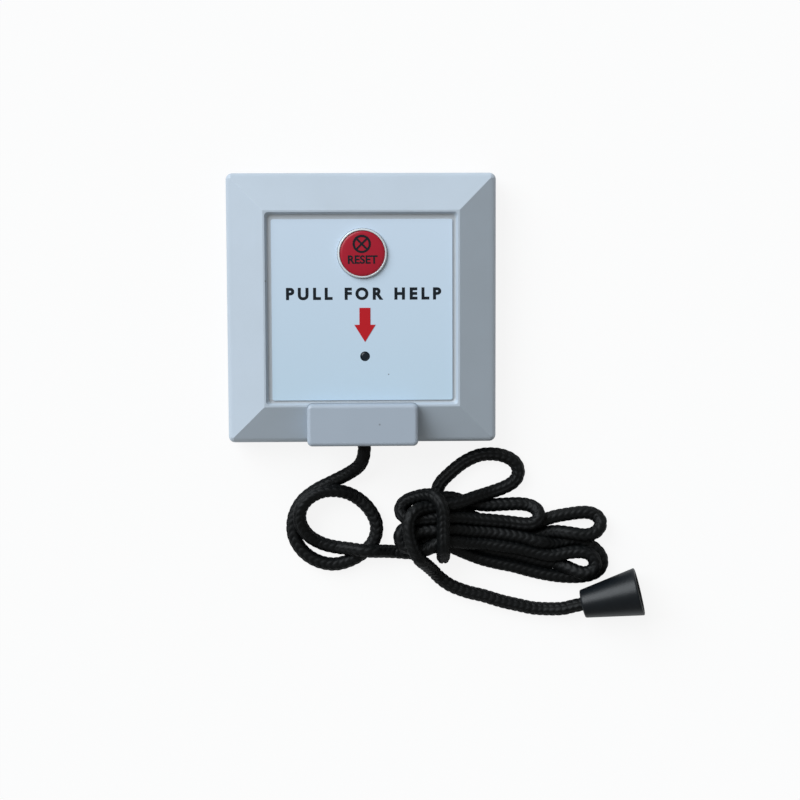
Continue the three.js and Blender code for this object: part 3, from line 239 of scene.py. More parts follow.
def braided_tube(name, points, diameter, step=RING_STEP, sides=RING_SIDES):
    """A closed braided tube along the points; its UV map holds the length and the way round."""
    line, places = smooth_line(points, step)
    count = len(line)
    tangents = np.gradient(line, axis=0)
    tangents /= np.linalg.norm(tangents, axis=1)[:, None]
    side = np.cross(tangents[0], (0, 0, 1.0))
    if np.linalg.norm(side) < 0.1:
        side = np.cross(tangents[0], (0, 1.0, 0))
    normals = np.zeros_like(line)
    for ring in range(count):
        side = side - tangents[ring] * side.dot(tangents[ring])
        side /= np.linalg.norm(side)
        normals[ring] = side
    binormals = np.cross(tangents, normals)
    around = np.arange(sides) / sides
    height = stitch_height(places[:, None], around[None, :])
    radius = diameter / 2 + STITCH_RELIEF * (height - 0.5)
    angle = 2 * math.pi * around[None, :]
    ring_x = (radius * np.cos(angle))[:, :, None] * normals[:, None, :]
    ring_y = (radius * np.sin(angle))[:, :, None] * binormals[:, None, :]
    vertices = (line[:, None, :] + ring_x + ring_y).reshape(-1, 3)
    vertices = np.vstack([vertices, line[0], line[-1]]) * MM

    faces = []
    corners = []
    for ring in range(count - 1):
        for turn in range(sides):
            after = (turn + 1) % sides
            faces.append((ring * sides + turn, ring * sides + after,
                          (ring + 1) * sides + after, (ring + 1) * sides + turn))
            corners += [(places[ring], turn / sides), (places[ring], (turn + 1) / sides),
                        (places[ring + 1], (turn + 1) / sides), (places[ring + 1], turn / sides)]
    first, last = count * sides, count * sides + 1
    for turn in range(sides):
        after = (turn + 1) % sides
        faces.append((first, after, turn))
        faces.append((last, (count - 1) * sides + turn, (count - 1) * sides + after))
        corners += [(0, turn / sides)] * 3 + [(places[-1], turn / sides)] * 3
    mesh = bpy.data.meshes.new(name)
    mesh.from_pydata([tuple(v) for v in vertices], [], faces)
    layer = mesh.uv_layers.new(name="braid")
    layer.data.foreach_set("uv", np.array(corners, float).ravel())
    mesh.shade_smooth()
    mesh.update()
    piece = bpy.data.objects.new(name, mesh)
    bpy.context.scene.collection.objects.link(piece)
    return piece, line, places[-1]


def make_cord(braid):
    """The whole cord in one piece, from the knot in the slider to the knot in the knob."""
    points = LEAD + FIRST_RUN + SECOND_RUN + THIRD_RUN + FOURTH_RUN + FIRST_WRAP + SECOND_WRAP
    points = points + [knob_axis_point(-7), knob_axis_point(-3), knob_axis_point(KNOB_FLOOR)]
    cord, line, length = braided_tube("pull_cord", points, CORD_DIAMETER)
    cord.data.materials.append(braid)
    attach(cord, "pull")
    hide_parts("cord_lead", "cord_bight", "cord_hank", "cord_tail")
    route, _ = smooth_line(line, 1.2)
    return cord, route, length


def make_knot(name, centre, along, radius, braid):
    """An overhand knot pulled tight, about a line through its centre."""
    points = []
    for step in range(25):
        angle = 2 * math.pi * step / 24
        points.append((
            radius * (math.sin(angle) + 0.9 * math.sin(2 * angle)) * 0.62,
            radius * (math.cos(angle) - 0.9 * math.cos(2 * angle)) * 0.62,
            -radius * 0.55 * math.sin(3 * angle),
        ))
    turn = Vector((0, 0, 1)).rotation_difference(Vector(along))
    placed = [tuple(Vector(centre) + turn @ Vector(point)) for point in points]
    knot, _, _ = braided_tube(name, placed, 2.7, 0.3, 24)
    knot.data.materials.append(braid)
    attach(knot, "pull")
    return knot


# Materials


def hex_colour(code):
    """A linear colour from an sRGB hex value."""
    parts = [int(code[place:place + 2], 16) / 255 for place in (1, 3, 5)]
    linear = [part / 12.92 if part <= 0.04045 else ((part + 0.055) / 1.055) ** 2.4 for part in parts]
    return (*linear, 1.0)


def add_node(material, kind, values=None, links=None, **settings):
    """A node with its socket values, its incoming links and its settings."""
    node = material.node_tree.nodes.new(kind)
    for key, value in settings.items():
        setattr(node, key, value)
    for socket, value in (values or {}).items():
        node.inputs[socket].default_value = value
    for socket, source in (links or {}).items():
        material.node_tree.links.new(source, node.inputs[socket])
    return node


def new_material(name):
    """An empty node material."""
    material = bpy.data.materials.new(name)
    material.use_nodes = True
    material.node_tree.nodes.clear()
    return material


def finish_material(material, shader):
    """Joins the shader to the material's output."""
    add_node(material, "ShaderNodeOutputMaterial", links={"Surface": shader.outputs[0]})
    return material


def add_specks(material, colour, place, specks):
    """Small spots of dirt: each is [x, y, z, radius, strength] in millimetres."""
    for x, y, z, radius, strength in specks:
        reach = add_node(material, "ShaderNodeVectorMath", {1: (x * MM, y * MM, z * MM)}, {0: place},
                         operation="DISTANCE")
        inside = add_node(material, "ShaderNodeMapRange",
                          {"From Min": radius * MM, "From Max": radius * 0.4 * MM, "To Max": strength},
                          {"Value": reach.outputs["Value"]})
        mixed = add_node(material, "ShaderNodeMix", {"B": hex_colour("#4A4238")},
                         {"Factor": inside.outputs["Result"], "A": colour}, data_type="RGBA")
        colour = mixed.outputs["Result"]
    return colour


def add_groove_painted_shade(material, colour, place):
    """Painted shade in the groove round the label: the recess's floor and the foot of its walls are tinted
    greyer and darker than the rest of the shell, where shade falls.
    """
    axes = add_node(material, "ShaderNodeSeparateXYZ", links={"Vector": place})
    low = add_node(material, "ShaderNodeMapRange",
                   {"From Min": (RECESS_FLOOR + 0.9) * MM, "From Max": (RECESS_FLOOR + 0.1) * MM},
                   {"Value": axes.outputs["Z"]})
    inside = low.outputs["Result"]
    for axis in ("X", "Y"):
        size = add_node(material, "ShaderNodeMath", links={0: axes.outputs[axis]}, operation="ABSOLUTE")
        near = add_node(material, "ShaderNodeMath", {1: (RECESS / 2 + 0.02) * MM}, {0: size.outputs[0]},
                        operation="LESS_THAN")
        both = add_node(material, "ShaderNodeMath", links={0: inside, 1: near.outputs[0]},
                        operation="MULTIPLY")
        inside = both.outputs[0]
    deep = add_node(material, "ShaderNodeMath", {1: (RECESS_FLOOR - 0.5) * MM}, {0: axes.outputs["Z"]},
                    operation="GREATER_THAN")
    share = add_node(material, "ShaderNodeMath", links={0: inside, 1: deep.outputs[0]}, operation="MULTIPLY")
    # painted shade: the groove's colour is mixed towards a darker grey
    mixed = add_node(material, "ShaderNodeMix", {"B": hex_colour("#B8BDC2")},
                     {"Factor": share.outputs[0], "A": colour}, data_type="RGBA")
    return mixed.outputs["Result"]


def moulded_plastic(name, colour, shade, roughness, grain_mm=0.35, relief=0.02, mottle_mm=18.0, gloss=None,
                    specks=(), groove=False):
    """Moulded plastic: its colour drifts a little over the piece, and its mould left a fine spark texture."""
    material = new_material(name)
    place = add_node(material, "ShaderNodeTexCoord").outputs["Object"]
    drift = add_node(material, "ShaderNodeTexNoise",
                     {"Scale": 1 / (mottle_mm * MM), "Detail": 3.0, "Roughness": 0.55}, {"Vector": place})
    colours = add_node(material, "ShaderNodeMix",
                       {"A": hex_colour(colour), "B": hex_colour(shade)},
                       {"Factor": drift.outputs["Fac"]}, data_type="RGBA")
    grain = add_node(material, "ShaderNodeTexNoise",
                     {"Scale": 1 / (grain_mm * MM), "Detail": 2.0}, {"Vector": place})
    matt = add_node(material, "ShaderNodeMapRange",
                    {"To Min": roughness - 0.04, "To Max": roughness + 0.06},
                    {"Value": grain.outputs["Fac"]})
    bump = add_node(material, "ShaderNodeBump", {"Strength": 0.35, "Distance": relief * MM},
                    {"Height": grain.outputs["Fac"]})
    base = colours.outputs["Result"]
    # painted shade in the groove round the label
    if groove:
        base = add_groove_painted_shade(material, base, place)
    base = add_specks(material, base, place, specks)
    values = {"IOR": 1.5}
    values.update(gloss or {})
    shader = add_node(material, "ShaderNodeBsdfPrincipled", values, {
        "Base Color": base, "Roughness": matt.outputs["Result"],
        "Normal": bump.outputs["Normal"],
    })
    return finish_material(material, shader)


def label_film():
    """Printed polycarbonate film: smooth, pale blue and a trace duller lower down, with one speck of dirt."""
    material = new_material("printed_label_film")
    place = add_node(material, "ShaderNodeTexCoord").outputs["Object"]
    axes = add_node(material, "ShaderNodeSeparateXYZ", links={"Vector": place})
    fall = add_node(material, "ShaderNodeMapRange",
                    {"From Min": -29 * MM, "From Max": 28 * MM, "To Min": 1.0, "To Max": 0.0},
                    {"Value": axes.outputs["Y"]})
    film = add_node(material, "ShaderNodeMix",
                    {"A": hex_colour("#CDDDEE"), "B": hex_colour("#C1D7E8")},
                    {"Factor": fall.outputs["Result"]}, data_type="RGBA")
    colour = add_specks(material, film.outputs["Result"], place, [(8.5, -21.0, LABEL_TOP, 0.28, 0.8)])
    grain = add_node(material, "ShaderNodeTexNoise", {"Scale": 1 / (0.6 * MM), "Detail": 3.0},
                     {"Vector": place})
    bump = add_node(material, "ShaderNodeBump", {"Strength": 0.2, "Distance": 0.01 * MM},
                    {"Height": grain.outputs["Fac"]})
    matt = add_node(material, "ShaderNodeMapRange", {"To Min": 0.28, "To Max": 0.36},
                    {"Value": grain.outputs["Fac"]})
    shader = add_node(material, "ShaderNodeBsdfPrincipled", {"IOR": 1.55}, {
        "Base Color": colour, "Roughness": matt.outputs["Result"], "Normal": bump.outputs["Normal"],
    })
    return finish_material(material, shader)


def braided_polyester():
    """Braided polyester: black plaits, dull, with grey-green flecks along the fibres that are painted glints.
    """
    material = new_material("braided_polyester")
    place = add_node(material, "ShaderNodeUVMap", uv_map="braid").outputs["UV"]
    # fibres run along the cord, about 90 of them round it
    fibre_map = add_node(material, "ShaderNodeMapping", {"Scale": (0.9, 90.0, 1.0)}, {"Vector": place})
    fibre = add_node(material, "ShaderNodeTexNoise", {"Scale": 1.0, "Detail": 3.0, "Roughness": 0.6},
                     {"Vector": fibre_map.outputs["Vector"]})
    patch_map = add_node(material, "ShaderNodeMapping", {"Scale": (0.16, 2.0, 1.0)}, {"Vector": place})
    patch = add_node(material, "ShaderNodeTexNoise", {"Scale": 1.0, "Detail": 2.0},
                     {"Vector": patch_map.outputs["Vector"]})
    tint = add_node(material, "ShaderNodeMix",
                    {"A": hex_colour("#030404"), "B": hex_colour("#040507")},
                    {"Factor": patch.outputs["Fac"]}, data_type="RGBA")
    # painted glints: grey-green flecks along the fibres stand in for the braid's highlights
    painted_glint = add_node(material, "ShaderNodeMapRange", {"From Min": 0.46, "From Max": 0.74, "To Max": 0.35},
                    {"Value": fibre.outputs["Fac"]})
    colour = add_node(material, "ShaderNodeMix", {"B": hex_colour("#161C1E")},
                      {"Factor": painted_glint.outputs["Result"], "A": tint.outputs["Result"]}, data_type="RGBA")
    bump = add_node(material, "ShaderNodeBump", {"Strength": 0.6, "Distance": 0.05 * MM},
                    {"Height": fibre.outputs["Fac"]})
    shader = add_node(material, "ShaderNodeBsdfPrincipled", {
        "Roughness": 0.55, "IOR": 1.5, "Specular IOR Level": 0.2,
    }, {"Base Color": colour.outputs["Result"], "Normal": bump.outputs["Normal"]})
    return finish_material(material, shader)


def metal(name, colour, shade, roughness, streak_mm=0.6):
    """Plated or drawn metal with faint streaks from the drawing."""
    material = new_material(name)
    place = add_node(material, "ShaderNodeTexCoord").outputs["Object"]
    drawn = add_node(material, "ShaderNodeMapping", {"Scale": (1.0, 1.0, 0.15)}, {"Vector": place})
    streak = add_node(material, "ShaderNodeTexNoise", {"Scale": 1 / (streak_mm * MM), "Detail": 3.0},
                      {"Vector": drawn.outputs["Vector"]})
    colours = add_node(material, "ShaderNodeMix", {"A": hex_colour(colour), "B": hex_colour(shade)},
                       {"Factor": streak.outputs["Fac"]}, data_type="RGBA")
    matt = add_node(material, "ShaderNodeMapRange", {"To Min": roughness - 0.06, "To Max": roughness + 0.1},
                    {"Value": streak.outputs["Fac"]})
    shader = add_node(material, "ShaderNodeBsdfPrincipled", {"Metallic": 1.0}, {
        "Base Color": colours.outputs["Result"], "Roughness": matt.outputs["Result"],
    })
    return finish_material(material, shader)


def clear_acrylic():
    """Clear moulded acrylic over a white part: almost white, bright at its rim, very smooth."""
    material = new_material("clear_acrylic")
    place = add_node(material, "ShaderNodeTexCoord").outputs["Object"]
    cloud = add_node(material, "ShaderNodeTexNoise", {"Scale": 1 / (3 * MM), "Detail": 2.0},
                     {"Vector": place})
    colours = add_node(material, "ShaderNodeMix", {"A": hex_colour("#E8EEF2"), "B": hex_colour("#DCE4EA")},
                       {"Factor": cloud.outputs["Fac"]}, data_type="RGBA")
    shader = add_node(material, "ShaderNodeBsdfPrincipled", {
        "Roughness": 0.12, "IOR": 1.49, "Transmission Weight": 0.15, "Coat Weight": 0.4,
    }, {"Base Color": colours.outputs["Result"]})
    return finish_material(material, shader)


def screen_ink(name, colour, shade):
    """Screen-printed ink: even and dense, its edge a little uneven from the mesh, about 0.1 mm."""
    material = new_material(name)
    place = add_node(material, "ShaderNodeTexCoord").outputs["Object"]
    mesh = add_node(material, "ShaderNodeTexNoise", {"Scale": 1 / (0.25 * MM), "Detail": 2.0},
                    {"Vector": place})
    colours = add_node(material, "ShaderNodeMix", {"A": hex_colour(colour), "B": hex_colour(shade)},
                       {"Factor": mesh.outputs["Fac"]}, data_type="RGBA")
    bump = add_node(material, "ShaderNodeBump", {"Strength": 0.2, "Distance": 0.01 * MM},
                    {"Height": mesh.outputs["Fac"]})
    shader = add_node(material, "ShaderNodeBsdfPrincipled", {"Roughness": 0.5, "Specular IOR Level": 0.25}, {
        "Base Color": colours.outputs["Result"], "Normal": bump.outputs["Normal"],
    })
    return finish_material(material, shader)


# Modelling helpers


def clear_selection():
    """Object mode, with nothing selected."""
    if bpy.context.object and bpy.context.object.mode != "OBJECT":
        bpy.ops.object.mode_set(mode="OBJECT")
    bpy.ops.object.select_all(action="DESELECT")


def box_start(name, low, high):
    """A cube between two corners, its place in its mesh."""
    clear_selection()
    middle = [(a + b) / 2 * MM for a, b in zip(low, high)]
    bpy.ops.mesh.primitive_cube_add(size=1, location=middle)
    piece = bpy.context.object
    piece.name = name
    piece.scale = [(b - a) * MM for a, b in zip(low, high)]
    bpy.ops.object.transform_apply(location=True, rotation=True, scale=True)
    return piece


def select_parts(piece, kind, test):
    """In edit mode, selects the piece's vertices, edges or faces whose middle or normal passes the test."""
    bpy.ops.object.mode_set(mode="EDIT")
    bpy.ops.mesh.select_mode(type=kind)
    bpy.ops.mesh.select_all(action="DESELECT")
    mesh = bmesh.from_edit_mesh(piece.data)
    mesh.normal_update()
    for part in {"VERT": mesh.verts, "EDGE": mesh.edges, "FACE": mesh.faces}[kind]:
        if kind == "VERT":
            chosen = test(part.co / MM)
        elif kind == "EDGE":
            chosen = test(part.verts[0].co / MM, part.verts[1].co / MM)
        else:
            chosen = test(part.calc_center_median() / MM, part.normal)
        part.select = bool(chosen)
    mesh.select_flush_mode()
    bmesh.update_edit_mesh(piece.data)


def use_modifier(piece, kind, **settings):
    """Puts one modifier on the piece and applies it."""
    clear_selection()
    piece.select_set(True)
    bpy.context.view_layer.objects.active = piece
    modifier = piece.modifiers.new(kind.lower(), kind)
    for key, value in settings.items():
        setattr(modifier, key, value)
    bpy.ops.object.modifier_apply(modifier=modifier.name)


def cut_away(piece, cutter, operation="DIFFERENCE"):
    """Cuts the cutter out of the piece, or joins it on, and deletes the cutter."""
    use_modifier(piece, "BOOLEAN", object=cutter, operation=operation, solver="EXACT")
    bpy.data.objects.remove(cutter)


def soften(piece, width_mm, segments=2, angle=24):
    """Rounds the piece's edges and smooths its faces up to an angle."""
    use_modifier(piece, "BEVEL", width=width_mm * MM, segments=segments, limit_method="ANGLE",
                 angle_limit=math.radians(angle), harden_normals=False)
    shade(piece)


def shade(piece, angle=35):
    """Smooth faces up to an angle, with flat faces kept flat up to their rounded edges."""
    clear_selection()
    piece.select_set(True)
    bpy.context.view_layer.objects.active = piece
    bpy.ops.object.shade_smooth_by_angle(angle=math.radians(angle))
    use_modifier(piece, "WEIGHTED_NORMAL", keep_sharp=True, weight=100)


def cylinder_start(name, centre, diameter, low, high, sides=64, axis="Z"):
    """A round bar along an axis, its place in its mesh."""
    clear_selection()
    middle = (low + high) / 2
    place = {"Z": (centre[0], centre[1], middle), "Y": (centre[0], middle, centre[1])}[axis]
    turn = (math.pi / 2, 0, 0) if axis == "Y" else (0, 0, 0)
    bpy.ops.mesh.primitive_cylinder_add(
        vertices=sides, radius=diameter / 2 * MM, depth=(high - low) * MM,
        location=[value * MM for value in place], rotation=turn)
    piece = bpy.context.object
    piece.name = name
    bpy.ops.object.transform_apply(location=True, rotation=True, scale=True)
    return piece


def spun(name, profile, steps=96):
    """A profile of [radius, height] points in millimetres, spun round Z and closed."""
    clear_selection()
    mesh = bpy.data.meshes.new(name)
    points = [(radius * MM, 0, height * MM) for radius, height in profile]
    edges = [(place, place + 1) for place in range(len(points) - 1)]
    mesh.from_pydata(points, edges, [])
    piece = bpy.data.objects.new(name, mesh)
    bpy.context.scene.collection.objects.link(piece)
    piece.select_set(True)
    bpy.context.view_layer.objects.active = piece
    bpy.ops.object.mode_set(mode="EDIT")
    bpy.ops.mesh.select_all(action="SELECT")
    bpy.ops.mesh.spin(steps=steps, angle=2 * math.pi, center=(0, 0, 0), axis=(0, 0, 1))
    bpy.ops.mesh.select_all(action="SELECT")
    bpy.ops.mesh.remove_doubles(threshold=0.002 * MM)
    bpy.ops.mesh.normals_make_consistent(inside=False)
    bpy.ops.object.mode_set(mode="OBJECT")
    return piece


def settle(piece, body, slot, material, *nodes):
    """Gives the finished piece its material and its body, and hides the CAD nodes that it stands for."""
    piece.data.materials.clear()
    piece.data.materials.append(material)
    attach(piece, body)
    if nodes:
        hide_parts(*nodes)
    return piece


# Unit


def make_cover(material):
    """The shell: a block whose top is inset, dropped at its rim and sunk at its middle, then hollowed."""
    half = PLATE / 2
    cover = box_start("cover_shell", (-half, -half, 0), (half, half, RIDGE_HEIGHT))
    select_parts(cover, "FACE", lambda middle, normal: normal.z > 0.9)
    bpy.ops.mesh.inset(thickness=(half - RECESS / 2 - RIDGE_WIDTH) * MM, use_even_offset=True)
    bpy.ops.mesh.inset(thickness=RIDGE_WIDTH * MM, use_even_offset=True)
    bpy.ops.mesh.extrude_region_move(
        TRANSFORM_OT_translate={"value": (0, 0, (RECESS_FLOOR - RIDGE_HEIGHT) * MM)})
    narrowed = 1 - 2 * RECESS_DRAFT / RECESS
    bpy.ops.transform.resize(value=(narrowed, narrowed, 1))
    select_parts(cover, "VERT", lambda at: at.z > 16 and max(abs(at.x), abs(at.y)) > half - 1)
    bpy.ops.transform.translate(value=(0, 0, (EDGE_HEIGHT - RIDGE_HEIGHT) * MM))
    select_parts(cover, "EDGE", lambda a, b: min(abs(a.x), abs(a.y), abs(b.x), abs(b.y)) > half - 1)
    bpy.ops.mesh.bevel(offset=PLATE_CORNER * MM, segments=5)
    inner = RECESS / 2
    select_parts(cover, "EDGE", lambda a, b: abs(a.z - b.z) > 1 and max(abs(a.x), abs(b.x)) < inner + 0.1)
    bpy.ops.mesh.bevel(offset=RECESS_CORNER * MM, segments=5)
    bpy.ops.object.mode_set(mode="OBJECT")

    wall = half - COVER_WALL
    room = box_start("room", (-wall, -wall, -1), (wall, wall, FACE_UNDERSIDE))
    select_parts(room, "FACE", lambda middle, normal: normal.z > 0.9)
    bpy.ops.mesh.inset(thickness=7.6 * MM, use_even_offset=True)
    select_parts(room, "VERT", lambda at: at.z > 13 and max(abs(at.x), abs(at.y)) > wall - 1)
    bpy.ops.transform.translate(value=(0, 0, -4.1 * MM))
    bpy.ops.object.mode_set(mode="OBJECT")
    cut_away(cover, room)
    side = HOOD_WIDTH / 2 + HOOD_GAP
    slot = box_start("slot", (HOOD_X - side, HOOD_BOTTOM_Y - 3, -1),
                     (HOOD_X + side, HOOD_TOP_Y + HOOD_GAP, HOOD_HEIGHT + 1))
    select_parts(slot, "EDGE", lambda a, b: abs(a.z - b.z) > 1 and a.y > HOOD_TOP_Y - 1)
    bpy.ops.mesh.bevel(offset=(HOOD_CORNER + HOOD_GAP) * MM, segments=6)
    bpy.ops.object.mode_set(mode="OBJECT")
    cut_away(cover, slot)
    soften(cover, 0.3, 3, 20)
    cut_away(cover, cylinder_start("hole", (BUTTON_X, BUTTON_Y), BUTTON_DIAMETER + 0.6, 10, 20, 96))
    cut_away(cover, cylinder_start("hole", (LAMP_X, LAMP_Y), 3.5, 10, 20, 32))
    shade(cover, 20)
    settle(cover, "housing", "shell", material, "front_cover")


def make_hood(material):
    """The cord hood: a block with rounded edges, hollowed from behind and pierced for the grommet."""
    half = HOOD_WIDTH / 2
    hood = box_start("cord_hood_shell", (HOOD_X - half, HOOD_BOTTOM_Y, 0),
                     (HOOD_X + half, HOOD_TOP_Y, HOOD_HEIGHT))
    select_parts(hood, "EDGE", lambda a, b: abs(a.z - b.z) > 1)
    bpy.ops.mesh.bevel(offset=HOOD_CORNER * MM, segments=6)
    select_parts(hood, "EDGE", lambda a, b: min(a.z, b.z) > HOOD_HEIGHT - 0.1)
    bpy.ops.mesh.bevel(offset=HOOD_ROUND * MM, segments=6)
    bpy.ops.object.mode_set(mode="OBJECT")
    inner = half - HOOD_WALL
    cut_away(hood, box_start("room", (HOOD_X - inner, HOOD_BOTTOM_Y + HOOD_WALL, -1),
                             (HOOD_X + inner, HOOD_TOP_Y - HOOD_WALL, HOOD_HEIGHT - HOOD_WALL)))
    cut_away(hood, box_start("way", (HOOD_X - inner, HOOD_TOP_Y - 4, -1),
                             (HOOD_X + inner, HOOD_TOP_Y + 1, FACE_UNDERSIDE - SEAT_GAP)))
    cut_away(hood, box_start("foot", (HOOD_X - half - 1, HOOD_FOOT_Y, -1),
                             (HOOD_X + half + 1, HOOD_TOP_Y + 1, BASE_THICKNESS)))
    cut_away(hood, cylinder_start("hole", (CORD_X, CORD_Z), 7.0, -46, -41, 48, "Y"))
    shade(hood, 40)
    settle(hood, "housing", "shell", material)


def make_label(material):
    """The label: a thin block with rounded corners, cut for the button and the lamp."""
    panel = box_start("label_film", (-28.7, -29.25, RECESS_FLOOR), (29.0, 28.45, LABEL_TOP))
    select_parts(panel, "EDGE", lambda a, b: abs(a.z - b.z) > 0.3)
    bpy.ops.mesh.bevel(offset=0.6 * MM, segments=4)
    bpy.ops.object.mode_set(mode="OBJECT")
    cut_away(panel, cylinder_start("hole", (BUTTON_X, BUTTON_Y), BUTTON_DIAMETER + 0.2, 14, 17, 96))
    cut_away(panel, cylinder_start("hole", (LAMP_X, LAMP_Y), 3.1, 14, 17, 48))
    soften(panel, 0.06, 2, 40)
    settle(panel, "housing", "label", material, "label_panel")


def make_button(clear, red):
    """The cancel button's clear cap with its rounded rim, and the red disc let into it."""
    radius = BUTTON_DIAMETER / 2
    cap = spun("button_cap_clear", [
        [0, 11.3], [2, 11.3], [2, 14.9], [radius - 1.3, 14.9], [radius - 1.3, 12], [9.2, 12], [9.2, 13],
        [radius, 13], [radius, 16.3], [radius - 0.12, 16.65], [radius - 0.4, 16.88], [radius - 0.62, 16.85],
        [radius - 0.7, 16.6], [radius - 0.7, 16.2], [0, 16.2],
    ])
    cap.data.transform(Matrix.Translation((BUTTON_X * MM, BUTTON_Y * MM, 0)))
    soften(cap, 0.05, 2, 40)
    settle(cap, "cancel_button", "clear", clear, "button_cap")
    disc = spun("button_face", [
        [0, 16.22], [7.2, 16.22], [7.22, 16.4], [7.12, 16.58], [6.92, 16.71], [6.3, 16.82], [4.5, 16.9],
        [2.2, 16.93], [0, 16.94],
    ])
    disc.data.transform(Matrix.Translation((BUTTON_X * MM, BUTTON_Y * MM, 0)))
    shade(disc, 50)
    settle(disc, "cancel_button", "red_plastic", red, "button_disc")


def make_words(name, words, size_mm, centre, top, ink, body, slot, spacing=1.0, weight=0.0):
    """A word in thin ink, made a mesh before its place is applied."""
    clear_selection()
    bpy.ops.object.text_add(location=(centre[0] * MM, centre[1] * MM, top * MM))
    text = bpy.context.object
    text.name = name
    text.data.body = words
    text.data.size = size_mm * MM
    text.data.align_x = "CENTER"
    text.data.align_y = "CENTER"
    text.data.space_character = spacing
    text.data.offset = weight * MM
    text.data.extrude = 0.02 * MM
    bpy.ops.object.convert(target="MESH")
    bpy.ops.object.transform_apply(location=True, rotation=True, scale=True)
    settle(bpy.context.object, body, slot, ink)


def make_ring_cross(ink):
    """The cross in a ring on the button: a thin ring and two bars."""
    centre = Vector((BUTTON_X - 0.2, BUTTON_Y + 3.0, 16.88))
    ring = spun("cross_ring", [[2.2, 0], [2.9, 0], [2.9, 0.1], [2.2, 0.1], [2.2, 0]], 48)
    ring.data.transform(Matrix.Translation(centre * MM))
    bars = []
    for turn in (45, -45):
        bar = box_start("cross_bar", (-2.4, -0.32, 0.0), (2.4, 0.32, 0.09))
        bar.data.transform(Matrix.Rotation(math.radians(turn), 4, "Z"))
        bar.data.transform(Matrix.Translation(centre * MM))
        bars.append(bar)
    cut_away(ring, bars[0], "UNION")
    cut_away(ring, bars[1], "UNION")
    settle(ring, "cancel_button", "lens", ink)


def make_knob(material):
    """The pull knob: a turned hollow cone with rounded rims, laid on its side."""
    small, big = KNOB_SMALL_END / 2, KNOB_BIG_END / 2

    def radius(distance):
        return small + (big - small) * distance / KNOB_LENGTH

    knob = spun("pull_knob_cone", [
        [KNOB_BORE, 0.12], [KNOB_BORE + 0.12, 0], [small - 0.5, 0], [small - 0.18, 0.08],
        [radius(0.35), 0.35], [radius(0.8), 0.8],
        [radius(6), 6], [radius(12), 12], [radius(18.2), 18.2], [radius(18.9), 18.9], [big - 0.18, 19.15],
        [big - 0.42, KNOB_LENGTH], [big - KNOB_WALL + 0.15, KNOB_LENGTH], [big - KNOB_WALL, 19.1],
        [radius(12) - KNOB_WALL, 12], [radius(3) - KNOB_WALL, 3], [radius(2.2) - KNOB_WALL - 0.3, KNOB_FLOOR],
        [KNOB_BORE, KNOB_FLOOR], [KNOB_BORE, 0.12],
    ], 96)
    along = Vector(knob_axis_point(1)) - Vector(knob_axis_point(0))
    turn = Matrix.Rotation(KNOB_TURN, 4, "Z") @ Matrix.Rotation(math.pi / 2 - KNOB_TILT, 4, "Y")
    knob.data.transform(Matrix.Translation(Vector((KNOB_X, KNOB_Y, KNOB_Z)) * MM) @ turn)
    shade(knob, 40)
    settle(knob, "pull", "knob", material, "pull_knob")
    return knob, along


def make_grommet(material):
    """The grommet that lines the cord's hole, its mouth rounded."""
    grommet = spun("cord_grommet_ring", [
        [GROMMET_BORE, 0.35], [GROMMET_BORE + 0.12, 0.1], [GROMMET_BORE + 0.3, 0], [GROMMET_BARREL, 0],
        [GROMMET_BARREL, 2.1], [GROMMET_FLANGE, 2.1], [GROMMET_FLANGE, 2.9], [GROMMET_BORE + 0.25, 2.9],
        [GROMMET_BORE, 2.65], [GROMMET_BORE, 0.35],
    ], 64)
    turn = Matrix.Rotation(-math.pi / 2, 4, "X")
    grommet.data.transform(Matrix.Translation(Vector((CORD_X, HOOD_BOTTOM_Y, CORD_Z)) * MM) @ turn)
    shade(grommet, 40)
    settle(grommet, "housing", "black_plastic", material, "cord_grommet")


def make_lamp(material):
    """The lamp's smoked lens under the label's window, with its rim and two legs."""
    lens = spun("lamp_lens", [
        [0, 9.8], [1.85, 9.8], [1.85, 10.6], [1.45, 10.6], [1.45, 15.1], [1.41, 15.3], [1.3, 15.46],
        [0.9, 15.58], [0.45, 15.63], [0, 15.65],
    ], 48)
    lens.data.transform(Matrix.Translation((LAMP_X * MM, LAMP_Y * MM, 0)))
    for side in (-1, 1):
        x = LAMP_X + side * 1.27
        leg = box_start("leg", (x - 0.25, LAMP_Y - 0.25, 6.2), (x + 0.25, LAMP_Y + 0.25, 10.2))
        cut_away(lens, leg, "UNION")
    shade(lens, 40)
    settle(lens, "housing", "lens", material, "indicator_lamp")


def make_spring(material):
    """The return spring round the cord (on the real unit its coils close up as the slider is drawn down): a
    copy of its CAD node, merged and smoothed.
    """
    clear_selection()
    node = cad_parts["pull_spring"]
    spring = bpy.data.objects.new("return_spring", node.data.copy())
    spring.data.transform(node.matrix_world)
    bpy.context.scene.collection.objects.link(spring)
    spring.select_set(True)
    bpy.context.view_layer.objects.active = spring
    bpy.ops.object.mode_set(mode="EDIT")
    bpy.ops.mesh.select_all(action="SELECT")
    bpy.ops.mesh.remove_doubles(threshold=0.002 * MM)
    bpy.ops.mesh.normals_make_consistent(inside=False)
    bpy.ops.object.mode_set(mode="OBJECT")
    shade(spring, 60)
    settle(spring, "housing", "steel", material, "pull_spring")
    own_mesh(spring)


def dress(material, *nodes):
    """Gives CAD nodes that stay their material."""
    for node in nodes:
        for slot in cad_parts[node].material_slots:
            slot.material = material


# Stage


